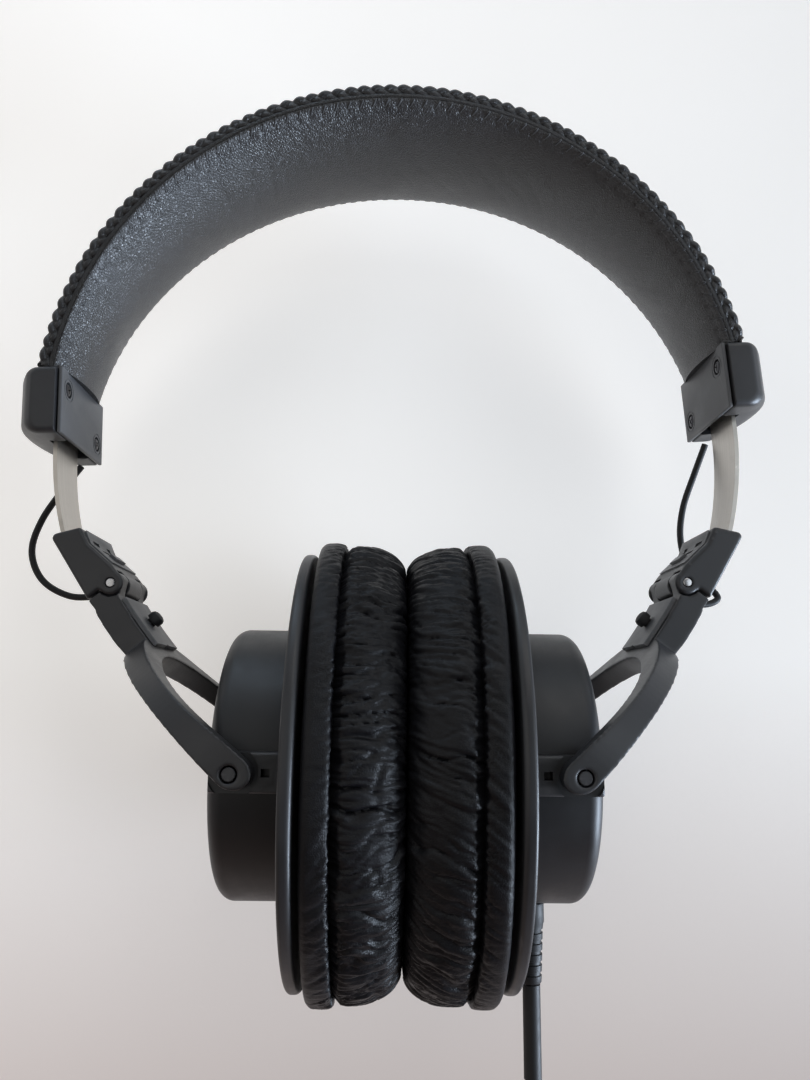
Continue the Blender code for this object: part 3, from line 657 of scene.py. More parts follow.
def band_sweep(section, steps):
    rings = []
    for k in range(steps + 1):
        angle = -BAND_REACH + 2 * BAND_REACH * k / steps
        rings.append([on_arc(r, y, angle) for r, y in section(angle)])
    return loft(rings)


def pad_under(angle, t):
    """Radius of the padded underside, at t from -1 to 1 across it: a dome that ends at the shoulders."""
    share = cos(angle) ** 2
    height = PAD_SHOULDER - PAD_OUTER + 2.6 + 2.2 * share
    return PAD_SHOULDER - 0.25 - height * max(0.0, 1 - t * t) ** 0.68


HOLE_INSET = 1.35  # from the pad's edge to the row of stitch holes
HOLE_RADIUS = 0.42
HOLE_DEPTH = 0.35
SEAM_INSET = 1.7  # from the rear edge to the sewn line


def seam_dip(angle, y, edge):
    """Depth of the leather's dimples at the front edge's holes and along the rear edge's seam."""
    dip = 0.0
    along = BRAID_ARC * angle
    pitch = BRAID_PITCH
    offset = (along / pitch - round(along / pitch)) * pitch
    across = y + edge - HOLE_INSET
    if abs(across) < 2:
        dip += HOLE_DEPTH * exp(-((offset**2 + across**2) / HOLE_RADIUS**2))
        dip += 0.12 * exp(-((across / 0.6) ** 2))
    across = y - edge + SEAM_INSET
    if abs(across) < 3:
        dip += 0.22 * exp(-((across / 0.55) ** 2)) * (0.9 + 0.1 * cos(2 * pi * along / pitch))
    return dip


def band_ripple(angle, y):
    """Soft unevenness of padded leather, with a few shallow creases across the band."""
    along = BRAID_ARC * angle
    swell = 0.16 * wave(along / 21, y / 14, 3.1)
    crease = wave(along / 7 + 2 * wave(along / 30, y / 18, 8), y / 26, 1.7)
    return swell - 0.07 * exp(-((crease / 0.1) ** 2))


def pad_section(angle, count=66):
    edge = half_width(angle) - 0.7
    under = []
    for k in range(count + 1):
        t = sin(pi / 2 * (-1 + 2 * k / count))
        y = t * edge
        lift = seam_dip(angle, y, edge) - band_ripple(angle, y) * (1 - t**4)
        under.append((pad_under(angle, t) + lift, y))
    high = PAD_SHOULDER
    top = [(high, CHANNEL + 0.5), (PAD_OUTER, CHANNEL), (PAD_OUTER, -CHANNEL), (high, -CHANNEL - 0.5)]
    return [*under, (high, edge - 0.3), *top, (high, 0.3 - edge)]


def cover_section(angle):
    """The outer cover: softly crowned, with turned-down edges."""
    edge = half_width(angle) - 2 * BRAID_RADIUS - GAP
    flat = CHANNEL + 0.2
    outer = []
    count = 30
    for k in range(count + 1):
        t = -1 + 2 * k / count
        y = t * edge
        drop = COVER_DROP * max(0.0, (abs(y) - flat) / (edge - flat)) ** 1.4
        outer.append((COVER_OUTER - drop + 0.1 * wave(angle * 5, y / 9, 5), y))
    inner = [(COVER_INNER, flat), (COVER_INNER, -flat)]
    return [*outer, (COVER_INNER - COVER_DROP, edge), *inner, (COVER_INNER - COVER_DROP, -edge)]


PLAIT_SWING, PLAIT_DEPTH = 1.0, 0.52  # how far a strand wanders, radially and across
STRAND_RADIUS = 0.9
STRANDS = 3


def braid_mesh(side):
    """A plait of three strands round a core, with a bump every BRAID_PITCH, and piping below."""
    parts = []
    period = STRANDS * BRAID_PITCH
    steps = int(2 * BAND_REACH * BRAID_ARC / period * 30)
    for strand in range(STRANDS):
        path, out = [], []
        for k in range(steps + 1):
            angle = -BAND_REACH + 2 * BAND_REACH * k / steps
            wobble = 0.3 * wave(angle * 22, side, strand)
            phase = 2 * pi * BRAID_ARC * angle / period + 2 * pi * strand / STRANDS + wobble
            up = on_arc(1, 0, angle)
            swing = up * PLAIT_SWING * sin(phase)
            aside = side * PLAIT_DEPTH * sin(2 * phase)
            centre = on_arc(BRAID_ARC, side * (half_width(angle) - BRAID_RADIUS), angle)
            path.append(centre + (swing + Vector((0, aside, 0))))
            out.append(swing + Vector((0, side * (1.1 + sin(2 * phase)), 0)))
        rings = []
        for i, centre in enumerate(path):
            along = (path[min(i + 1, steps)] - path[max(i - 1, 0)]).normalized()
            normal = (out[i] - out[i].dot(along) * along).normalized()
            across = along.cross(normal)
            rings.append(
                [centre + STRAND_RADIUS * (0.8 * cos(a) * normal + sin(a) * across) for a in turns(14)]
            )
        parts.append(loft(rings))
    core, piping = (BRAID_ARC, BRAID_RADIUS, 0.95), (PAD_SHOULDER + 0.55, 1.75, 1.0)
    for radius, inset, thick in (core, piping):
        path = []
        for k in range(161):
            angle = -BAND_REACH + 2 * BAND_REACH * k / 160
            path.append(on_arc(radius, side * (half_width(angle) - inset), angle))
        parts.append(tube(path, thick, 12))
    return join(parts)


def stitch(start, end, radius):
    """A short thread, thickest in the middle and sunk at both ends."""
    start, end = Vector(start), Vector(end)
    turn = (end - start).to_track_quat("Z", "Y").to_matrix()
    rings = []
    for k in range(7):
        t = k / 6
        swell = radius * max(0.25, sqrt(max(0.0, 1 - (2 * t - 1) ** 4)))
        centre = start.lerp(end, t)
        rings.append([centre + turn @ Vector((swell * cos(a), swell * sin(a), 0)) for a in turns(8)])
    return loft(rings)


def band_stitches():
    """Threads from each hole over to the front braid, and a line of stitches along the rear."""
    parts = []
    pitch = BRAID_PITCH / BRAID_ARC
    count = int(BAND_REACH / pitch)
    for k in range(-count, count + 1):
        angle = k * pitch
        edge = half_width(angle) - 0.7
        hole = HOLE_INSET - edge
        lean = 0.35 * pitch
        low = pad_under(angle, hole / edge)
        start = on_arc(low + 0.35, hole + 0.15, angle)
        end = on_arc(low + 1.3, -edge - 0.25, angle + lean)
        parts.append(stitch(start, end, 0.3))
        y = edge - SEAM_INSET
        low = pad_under(angle, y / edge) + 0.1
        reach = 0.3 * pitch
        parts.append(stitch(on_arc(low, y, angle - reach), on_arc(low, y, angle + reach), 0.13))
    return join(parts)


def build_headband():
    band = FRAMES["band"]
    leather_pad = band_sweep(pad_section, 520)
    dress("band_pad", "leather", leather_pad, "band_leather", band, "headband", smooth=60)
    cover = band_sweep(cover_section, 160)
    add_piece("band_cover_leather", cover, "band_leather", band, "headband", ["band_top_cover"])
    for name, side in (("front", -1), ("rear", 1)):
        rope = braid_mesh(side)
        dress(f"braid_{name}", "strands", rope, "braid_leather", band, "headband", smooth=80)
    sewing = band_stitches()
    add_piece("band_stitches", sewing, "thread", band, "headband", smooth=80)


# --- end caps ---


def cap_outline():
    corners = [(CAP_IN, CAP_LOW), (CAP_OUT, CAP_LOW), (CAP_OUT, CAP_HIGH), (CAP_IN, CAP_HIGH)]
    return fillet(corners, [0.35, 3.2, 2.0, 0.35], 8)


def cap_shell_mesh():
    """The outline swept across in y: rounded ends, and a dome in the middle of the outer side."""
    outline = cap_outline()
    rings = []
    for k in range(61):
        t = sin(pi / 2 * (-1 + 2 * k / 60))
        rim = max(0.0, (abs(t) - 0.885) / 0.115)
        inset = 1.6 * (1 - sqrt(max(0.0, 1 - rim**2)))
        dome = (CAP_DOME - CAP_OUT) * max(0.0, 1 - (abs(t) / 0.97) ** 2.2)
        middle_z = (CAP_LOW + CAP_HIGH) / 2
        ring = []
        for x, z in outline:
            share = (x - CAP_IN) / (CAP_OUT - CAP_IN)
            lean = 1 - 0.16 * share * dome / (CAP_DOME - CAP_OUT) * (1 if z > middle_z else 0.75)
            z = middle_z + (z - middle_z) * lean * (1 - inset / 8)
            x += share * (dome - inset) + 0.12 * (1 - share) * inset
            ring.append((x, t * CAP_HALF_WIDTH, z))
        rings.append(ring)
    return loft(rings)


def screw_mesh(y, z, turn):
    """A small pan-head screw with a cross recess."""
    face = PLATE_IN - 0.05
    head = [(face, 0), (face, 0.75), (face + 0.06, 1.1), (face + 0.2, 1.35), (face + 0.45, 1.4),
            (PLATE_OUT - 0.45, 1.4), (PLATE_OUT - 0.45, 0)]
    screw = knob_shape(head, 48, (0, y, z))
    for quarter in (0, 90):
        slot = box((-0.4, -0.85, -0.15), (0.28, 0.85, 0.15))
        spin = Matrix.Rotation(radians(turn + quarter), 4, "X")
        slot.transform(Matrix.Translation((PLATE_IN, y, z)) @ spin)
        screw = combine(screw, slot)
    return screw


def build_cap(side, sign):
    band = FRAMES["band"]
    shell = cap_shell_mesh()
    pocket = box((CAP_IN - 1, -11.9, CAP_LOW + 1.6), (81.1, 11.9, CAP_HIGH + 1), 0.4)
    shell = combine(shell, pocket)
    throat = box((CAP_IN - 1, -6.9, CAP_LOW - 1), (79.7, 6.9, CAP_LOW + 3))
    shell = combine(shell, throat)
    dress(f"cap_shell_{side}", "moulded", shell, "satin_plastic", band, "headband", sign)

    low, high = CAP_LOW + 0.1, CAP_HIGH - 0.1
    plate = box((PLATE_IN, -PLATE_HALF_WIDTH, low), (PLATE_OUT, PLATE_HALF_WIDTH, high), 0.22)
    for y, z in CAP_SCREWS.values():
        plate = combine(plate, rod((PLATE_IN - 1, y, z), (PLATE_OUT - 0.2, y, z), 1.85))
        ring = lathe([(PLATE_IN - 0.3, 2.35), (PLATE_IN + 0.1, 2.35), (PLATE_IN + 0.1, 2.65),
                      (PLATE_IN - 0.3, 2.65)], 48)
        ring.transform(Matrix.Translation((0, y, z)))
        plate = combine(plate, ring)
    dress(f"cap_inner_plate_{side}", "moulded", plate, "grey_plastic", band, "headband", sign)
    for k, (spot, (y, z)) in enumerate(CAP_SCREWS.items()):
        screw = screw_mesh(y, z, 20 + 37 * k)
        dress(f"cap_screw_{spot}_{side}", "head", screw, "screw_steel", band, "headband", sign)


# --- arm blocks ---


def arc(centre, radius, start, end, steps):
    """Points of an arc, with angles in degrees from the first axis."""
    turn = [radians(start + (end - start) * k / steps) for k in range(steps + 1)]
    return [(centre[0] + radius * cos(a), centre[1] + radius * sin(a)) for a in turn]


CHEEK = 8.9  # the block's thin cheeks start here and cover the yoke's knuckles
BLOCK_INNER = [(-2.4, 14.2), (-1.5, 10.2), (-2.6, 3.2)]  # the inner face's corners, as (n, s)


def block_mesh():
    """The block's body, with a bevelled top and room for the yoke's knuckles and the pin."""
    knuckle = arc((0, 0), KNUCKLE_RADIUS, 160, 352, 20)
    top = fillet([(6.0, 0.35), (3.9, 17.2), *BLOCK_INNER], [0, 1.1, 0.8, 2.5, 0], 5)
    block = extrude_y([*top, *knuckle, (3.0, 0.35)], -BLOCK_HALF_WIDTH, BLOCK_HALF_WIDTH, 0.75)
    for half in (-1, 1):
        start, end = (0, half * KNUCKLE_SPLIT, 0), (0, half * (CHEEK - GAP / 2), 0)
        block = combine(block, rod(start, end, KNUCKLE_RADIUS + GAP))
    block = combine(block, rod((0, -12, 0), (0, 12, 0), PIN_RADIUS + 0.15))
    return soften([block], 0.24, 3)


def block_inlay_mesh():
    """The lighter plate let into the block's inner face: a step, two clip slots and a rib."""
    high, waist, low = [Vector((n, s)) for n, s in BLOCK_INNER]
    outline = [(high.x - 0.32, high.y - 0.9), (waist.x - 0.32, waist.y), (low.x - 0.34, low.y + 0.4),
               (low.x + 1.1, low.y + 0.3), (waist.x + 1.2, waist.y), (high.x + 1.2, high.y - 1.2)]
    plate = extrude_y(outline, -8.4, 8.4, 0.2, 2)
    for y, s, half_y, half_s in ((-4.6, 10.6, 1.9, 0.45), (-2.2, 8.4, 2.4, 0.5), (3.4, 9.6, 1.1, 1.4)):
        slot = box((-3.6, y - half_y, s - half_s), (-1.55, y + half_y, s + half_s))
        plate = combine(plate, slot)
    clip = extrude_y([(-3.35, 5.4), (-3.0, 7.4), (-1.8, 7.4), (-1.8, 5.4)], -3.1, 3.1, 0.2)
    return join([plate, clip])


def build_block(side, sign):
    where, body = FRAMES[f"fold_{side}"], f"slider_{side}"
    name = f"arm_block_{side}"
    dress(name, "moulded", block_mesh(), "satin_plastic", where, body, sign)
    add_piece(f"{name}_inlay", block_inlay_mesh(), "grey_plastic", where, body, [], sign)
    pin = rod((0, -PIN_REACH, 0), (0, PIN_REACH, 0), PIN_RADIUS, 40, 0.15)
    dress(f"fold_pin_{side}", "turned", pin, "pin_steel", where, body, sign)


# --- yokes ---


def bow(s):
    """How far the yoke's middle surface bows outward, at s from the pivot."""
    t = s / FOLD_S
    return -0.6 + 3.4 * t + 11.0 * t * (1 - t) * (0.3 + t)


def yoke_thickness(s):
    t = min(1.0, max(0.0, s / 34))
    tip = sqrt(max(0.0, 1 - (s / TIP_REACH) ** 2)) if s < 0 else 1.0
    waist = 1.3 * sin(pi * min(1.0, max(0.0, s / 40))) ** 1.5
    return tip * (6.3 - 0.4 * t - waist)


def yoke_stations(steps=34):
    """The fork in plan, as pairs of (y, s) points on its inner and outer edges."""
    tines = [((TINE_IN, s), (TINE_OUT, s)) for s in (-3.55, -3.4, -3.1, -2.6, -1.9, -1.0, 0.0)]
    arms = []
    for k in range(steps + 1):
        a = pi / 2 * k / steps
        inner = (TINE_IN * cos(a) ** 1.05, 1.0 + (CROTCH_S - 1.0) * sin(a))
        reach = TINE_OUT - STEM_HALF_WIDTH
        outer = (STEM_HALF_WIDTH + reach * cos(a) ** 1.45, 2.5 + 32.5 * sin(a))
        arms.append((inner, outer))
    stem = [((0.0, s), (STEM_HALF_WIDTH, s)) for s in (36.5, 38.0, 40.0, 42.0, 44.5, FOLD_S - 3.1)]
    return tines + arms + stem


def fork_mesh():
    """Two arms that grow together above the crotch, curved outward along their length."""
    bm = bmesh.new()
    stations = yoke_stations()
    crotch = len(stations) - 7
    made = {}

    def corner(y, s, level):
        key = (round(y, 4) + 0.0, round(s, 4), level)
        if key not in made:
            made[key] = bm.verts.new((bow(s) + level * yoke_thickness(s) / 2, y, s - FOLD_S))
        return made[key]

    for half in (-1, 1):
        rows = [[corner(half * y, s, level) for y, s in pair for level in (-1, 1)] for pair in stations]
        for k, (p, q) in enumerate(zip(rows, rows[1:])):
            bm.faces.new((p[0], p[2], q[2], q[0]))
            bm.faces.new((p[1], q[1], q[3], p[3]))
            bm.faces.new((p[2], p[3], q[3], q[2]))
            if k < crotch:
                bm.faces.new((p[0], q[0], q[1], p[1]))
        bm.faces.new((rows[0][0], rows[0][1], rows[0][3], rows[0][2]))
        bm.faces.new((rows[-1][0], rows[-1][2], rows[-1][3], rows[-1][1]))
    return outward(bm)


def yoke_mesh():
    """The fork, melted together with the head that carries the knuckles and the stop."""
    pivot = rod((0, -40, -FOLD_S), (0, 40, -FOLD_S), PIVOT_RADIUS + GAP)
    fork = combine(fork_mesh(), pivot)
    outline = [(6.0, -0.1), (6.1, -8.5), (0.9, -8.5), (0.4, -3.2)]
    outline += arc((0, 0), KNUCKLE_RADIUS, 200, -1, 20)
    head = extrude_y(outline, -STEM_HALF_WIDTH, STEM_HALF_WIDTH)
    inner = KNUCKLE_SPLIT + GAP
    head = combine(head, rod((0, -inner, 0), (0, inner, 0), KNUCKLE_RADIUS + GAP))
    for half in (-1, 1):
        start, end = (0, half * (CHEEK - GAP / 2), 0), (0, half * 12, 0)
        head = combine(head, rod(start, end, KNUCKLE_RADIUS + GAP))
    head = combine(head, rod((0, -12, 0), (0, 12, 0), PIN_RADIUS + 0.15))
    return soften([fork, head], 0.28, 4)


def inner_cover_mesh():
    """The grey cover on the stem's inner side, which ends in a V above the fork."""
    rings = []
    levels = [33.0 + 12.6 * k / 24 for k in range(25)]
    for s in levels:
        face = bow(s) - yoke_thickness(s) / 2 - GAP * 0.4
        width = STEM_HALF_WIDTH - 1.2
        z = s - FOLD_S
        edge = fillet([(face - 0.95, -width), (face - 0.95, width), (face, width), (face, -width)],
                      [0.35, 0.35, 0, 0], 3)
        rings.append([(n, y, z) for n, y in edge])
    cover = loft(rings)
    for half in (-1, 1):
        notch = box((-20, -14, -4), (20, 14, 0))
        turn = Matrix.Rotation(half * radians(-24), 4, "X")
        point = Matrix.Translation((0, 0, 33.4 - FOLD_S))
        notch.transform(point @ turn @ Matrix.Translation((0, half * 14.0, 0)))
        cover = combine(cover, notch)
    return cover


def build_yoke(side, sign):
    where, body = FRAMES[f"fold_{side}"], f"yoke_{side}"
    dress(f"yoke_{side}", "moulded", yoke_mesh(), "satin_plastic", where, body, sign, 38)
    cover = inner_cover_mesh()
    dress(f"yoke_inner_cover_{side}", "moulded", cover, "grey_plastic", where, body, sign)
    seat = bow(BUMPER_S) - yoke_thickness(BUMPER_S) / 2 - 0.4
    profile = [(seat, 0), (seat, 1.15), (seat - 1.1, 1.1), (seat - 1.25, 1.75), (seat - 2.4, 1.8),
               (seat - 3.0, 1.5), (seat - 3.3, 0.9), (seat - 3.35, 0)]
    knob = knob_shape(profile, 48, (0, 0, BUMPER_S - FOLD_S))
    dress(f"bumper_knob_{side}", "rubber", knob, "black_rubber", where, body, sign)


# --- cups ---


def housing_mesh():
    """The cup-shaped shell, with a boss on each side for the yoke's tines and a slot in it."""
    back, inner = HOUSING_OUT - 0.9, HOUSING_RADIUS - HOUSING_WALL
    corners = [
        (HOUSING_IN, HOUSING_RADIUS), (HOUSING_OUT, HOUSING_RADIUS), (HOUSING_OUT, DISC_RADIUS + GAP),
        (back, DISC_RADIUS + GAP), (back, 2.0), (back - 1.7, 2.0), (back - 1.7, inner - 2.0),
        (back - 3.7, inner), (HOUSING_IN, inner),
    ]
    shell = lathe(fillet(corners, [0.3, 3.4, 0.25, 0, 0, 0, 0, 0, 0], 10), 180, PIVOT_X)
    for face in (-1, 1):
        low, high = sorted((face * (HOUSING_RADIUS - 2.2), face * BOSS_FACE))
        tall = BOSS_HALF_HEIGHT
        boss = box((HOUSING_IN + 0.2 - PIVOT_X, low, -tall), (4.4, high, tall), 0.5)
        shell = combine(shell, boss, "UNION")
        start, end = (0, face * (BOSS_FACE - 0.6), 0), (0, face * (BOSS_FACE + 1), 0)
        shell = combine(shell, rod(start, end, RECESS_RADIUS, 64))
        bore = rod((0, face * (BOSS_FACE + 1), 0), (0, face * 28.6, 0), PIVOT_RADIUS + GAP)
        shell = combine(shell, bore)
        low, high = sorted((face * (BOSS_FACE - 2.4), face * (BOSS_FACE + 1)))
        slot = box((24.9 - PIVOT_X, low, -0.75), (26.5 - PIVOT_X, high, 0.75))
        shell = combine(shell, slot)
    return shell


def front_plate_mesh():
    corners = [(RIM_IN, RIM_HOLE), (RIM_IN, RIM_Z), (RIM_OUT, RIM_Z), (RIM_OUT, RIM_HOLE)]
    share = RIM_Y / RIM_Z

    def squeeze(r):
        return 1 + (r - RIM_HOLE) / (RIM_Z - RIM_HOLE) * (share - 1)

    return lathe(fillet(corners, [0, 1.15, 0.8, 0], 8), 240, PIVOT_X, squeeze)


def sleeve_profile():
    """The strain relief: a collar, five grooves and a taper, as (along, radius)."""
    grooves = []
    for k in range(5):
        z, wide = 5.2 + 2.1 * k, 2.62 - 0.09 * k
        grooves += [(z, wide), (z + 0.12, wide - 0.3), (z + 0.75, wide - 0.3), (z + 0.87, wide - 0.03)]
    collar = [(0, 0), (0, 2.75), (0.15, 2.9), (3.9, 2.9), (4.2, 2.75)]
    tip = [(SLEEVE_LENGTH - 0.3, 2.15), (SLEEVE_LENGTH, 1.95), (SLEEVE_LENGTH, 0)]
    return [*collar, *grooves, *tip]


def build_cup(side, sign):
    where, body = FRAMES[f"cup_{side}"], f"cup_{side}"

    def place(node, bm, material, smooth=35, suffix="moulded"):
        dress(node, suffix, bm, material, where, body, sign, smooth)

    place(f"cup_housing_{side}", housing_mesh(), "housing_plastic")
    face = HOUSING_OUT - 0.6 - PIVOT_X
    profile = [(face, 0), (face, DISC_RADIUS), (face + 0.55, DISC_RADIUS), (face + 0.8, 21.75),
               (face + 0.9, 21.4), (face + 0.9, 0)]
    place(f"cup_end_disc_{side}", knob_shape(profile, 180), "housing_plastic", suffix="satin")
    place(f"front_plate_{side}", front_plate_mesh(), "satin_plastic")
    for name, half in (("front", -1), ("rear", 1)):
        tip = TINE_OUT - 0.12
        r = PIVOT_RADIUS
        profile = [(28.9, 0), (28.9, r), (tip - 0.15, r), (tip, r - 0.15), (tip, 0)]
        pin = knob_shape([(half * along, thick) for along, thick in profile], 48, axis="Y")
        place(f"pivot_pin_{name}_{side}", pin, "satin_plastic", suffix="turned")
    build_pad(side, sign)
    if side == "right":
        x = CORD_X - PIVOT_X
        top = -HOUSING_RADIUS - GAP
        sleeve = knob_shape(sleeve_profile(), 64, (x, 0, top), "-Z")
        place("strain_relief", sleeve, "black_rubber", suffix="sleeve")
        low = top - GAP - SLEEVE_LENGTH
        path = [Vector((x, 0, low - CORD_LENGTH * k / 24)) for k in range(25)]
        place("cord", tube(path, CORD_RADIUS, 40), "black_rubber", 60, "jacket")


# --- ear pads ---


def pad_outline():
    """The pad's cross-section as (x, share of the way from the hole's edge to the outer edge)."""
    return [
        (19.5, 0.02), (19.5, 0.5), (19.45, 0.9), (18.6, 0.985), (16.6, 1.004), (13.9, 0.996), (13.1, 0.968),
        (12.3, 0.986), (9.2, 0.986), (5.8, 0.955), (2.5, 0.89), (0.1, 0.79), (-1.0, 0.65),
        (-0.8, 0.42), (0.6, 0.22), (3.2, 0.07), (7.5, 0.0), (13.0, 0.0),
    ]


def closed_spline(points, count):
    """Evenly spaced points on a smooth closed curve through the given ones."""
    fine = []
    total = len(points)
    for i in range(total):
        a, b, c, d = [np.array(points[(i + k) % total], float) for k in (-1, 0, 1, 2)]
        for k in range(24):
            t = k / 24
            cubic = (2 * a - 5 * b + 4 * c - d) * t**2 + (3 * b - a - 3 * c + d) * t**3
            fine.append(0.5 * (2 * b + (c - a) * t + cubic))
    fine = np.array(fine)
    steps = np.linalg.norm(np.roll(fine, -1, axis=0) - fine, axis=1)
    length = np.concatenate([[0], np.cumsum(steps)])
    ring = np.vstack([fine, fine[:1]])
    marks = np.linspace(0, length[-1], count, endpoint=False)
    return np.stack([np.interp(marks, length, ring[:, k]) for k in (0, 1)], axis=1)


def pad_rings(around, across, inset=0.0):
    """Points of the plain pad, its (u, d) surface coordinates, and the count across."""
    scale = PAD_Z - PAD_HOLE_Z
    outline = closed_spline([(x, share * scale) for x, share in pad_outline()], across)
    lengths = np.linalg.norm(np.roll(outline, -1, axis=0) - outline, axis=1)
    along = np.concatenate([[0], np.cumsum(lengths)[:-1]])
    outer = outline[:, 1] > scale * 0.7
    seam = along[np.argmin(np.abs(outline[:, 0] - PAD_SEAM) + 100 * ~outer)]
    centre = outline.mean(axis=0)
    outline = outline + (centre - outline) / np.linalg.norm(centre - outline, axis=1)[:, None] * inset
    points, coordinates = [], []
    u = 0.0
    for k in range(around):
        a = 2 * pi * k / around
        for (x, reach), d in zip(outline, along - seam):
            share = reach / scale
            y = PAD_HOLE_Y + share * (PAD_Y - PAD_HOLE_Y)
            z = PAD_HOLE_Z + share * scale
            points.append((x, y * cos(a), z * sin(a)))
            coordinates.append((u, d, a))
        u += hypot(PAD_Y * sin(a), PAD_Z * cos(a)) * 2 * pi / around
    return np.array(points), np.array(coordinates)


def ring_mesh(points, around, across):
    rings = points.reshape(around, across, 3)
    return loft([[tuple(p) for p in ring] for ring in rings], closed=True)


VOXEL = 4.0
PUFF_CAP = 1.5  # how far the filling may push the skin out, in mm
PUFF_INSET = 0.9
PUFF_FRAMES = 20


def puffed_field():
    """Blows up a coarse pad with cloth pressure; returns where its points were and how they moved."""
    around, across = 96, 30
    points, _ = pad_rings(around, across, PUFF_INSET)
    thing = as_object("puff", ring_mesh(points * MM, around, across))
    scene = bpy.context.scene
    remesh = thing.modifiers.new("remesh", "REMESH")
    remesh.mode = "VOXEL"
    remesh.voxel_size = VOXEL * MM
    graph = bpy.context.evaluated_depsgraph_get()
    mesh = bpy.data.meshes.new_from_object(thing.evaluated_get(graph))
    thing.modifiers.clear()
    thing.data = mesh
    start = np.array([v.co for v in mesh.vertices])

    backed = thing.vertex_groups.new(name="backed")
    held = [v.index for v in mesh.vertices if v.co.x > (PAD_BACK - 2.2) * MM]
    backed.add(held, 1.0, "REPLACE")
    cloth = thing.modifiers.new("cloth", "CLOTH")
    cloth.settings.quality = 6
    cloth.settings.mass = 0.2
    cloth.settings.tension_stiffness = 12
    cloth.settings.compression_stiffness = 12
    cloth.settings.bending_stiffness = 0.3
    cloth.settings.use_pressure = True
    cloth.settings.uniform_pressure_force = 4.0
    cloth.settings.vertex_group_mass = "backed"
    cloth.settings.effector_weights.gravity = 0.0
    cloth.collision_settings.use_collision = False
    for number in range(1, PUFF_FRAMES + 1):
        scene.frame_set(number)
    graph = bpy.context.evaluated_depsgraph_get()
    result = thing.evaluated_get(graph).to_mesh()
    end = np.array([v.co for v in result.vertices])
    bpy.data.objects.remove(thing)
    scene.frame_set(1)
    moved = (end - start) / MM
    length = np.linalg.norm(moved, axis=1)
    moved *= (np.minimum(length, PUFF_CAP) / np.maximum(length, 1e-9))[:, None]
    return start / MM, moved


def crease(value, width):
    """1 along a pattern's zero line, falling off over a width."""
    return exp(-((value / width) ** 2))


def pad_relief(u, d, a, side):
    """How far the skin stands out at arc length u round the pad, and d across from the seam."""
    seed = 10.0 if side == "left" else 40.0
    slant = 0.08 if side == "left" else 0.34
    seam = -1.0 * exp(-abs(d) / 0.35) - 0.25 * exp(-abs(d) / 1.2)
    gathers = 0.42 * wave(u / 0.9, d / 6, seed + 7) * exp(-abs(d) / 2.4)
    if d < 0:  # the rear roll: slanted pleats near the seam, smooth beyond
        depth = -d
        lean = u - 0.85 * depth
        here = wave(u / 26, 2, seed)
        if side == "right":
            here = 1.6 * crease(a - pi, 0.75) + 0.4 * here - 0.55 + 1.1 * crease(a, 0.8)
        strength = max(0.12, min(1.0, 0.7 + here))
        fall = exp(-((depth / 4.6) ** 3))
        n1 = wave(lean / 1.9, depth / 7, seed + 1)
        n2 = wave(lean / 0.8, depth / 4, seed + 2)
        pleats = -0.55 * crease(n1, 0.16) - 0.12 * crease(n2, 0.2) + 0.22 * n1
        return seam + gathers + pleats * strength * fall + 0.04 * wave(u / 6, d / 6, seed)
    lean = u + slant * d
    sway = 0.9 * wave(u / 11, d / 7, seed + 3)
    front = exp(-((d / 27) ** 4))  # pressed flat where the pads meet
    big = wave(lean / 4.4 + sway, d / 26, seed + 4)
    mid = wave(lean / 2.1 + 0.6 * sway, d / 15, seed + 5)
    fine = wave(lean / 0.95, d / 8.5, seed + 6)
    branch = wave((lean + 0.8 * d) / 5.0 + sway, d / 9, seed + 8)
    heavy = 1.0 if side == "left" else 0.6
    chosen = max(0.0, min(1.0, 0.6 + 1.3 * wave(u / 8, 5, seed + 9)))
    folds = -1.0 * heavy * chosen * crease(big, 0.09) - 0.5 * crease(mid, 0.12)
    folds -= 0.35 * heavy * crease(branch, 0.07)
    swell = 0.45 * heavy * big + 0.3 * mid + 0.1 * fine - 0.2 * crease(fine, 0.16)
    near = 0.55 + 0.45 * exp(-d / 9)
    return seam + gathers + (folds * (0.45 + 0.55 * near) + swell) * front


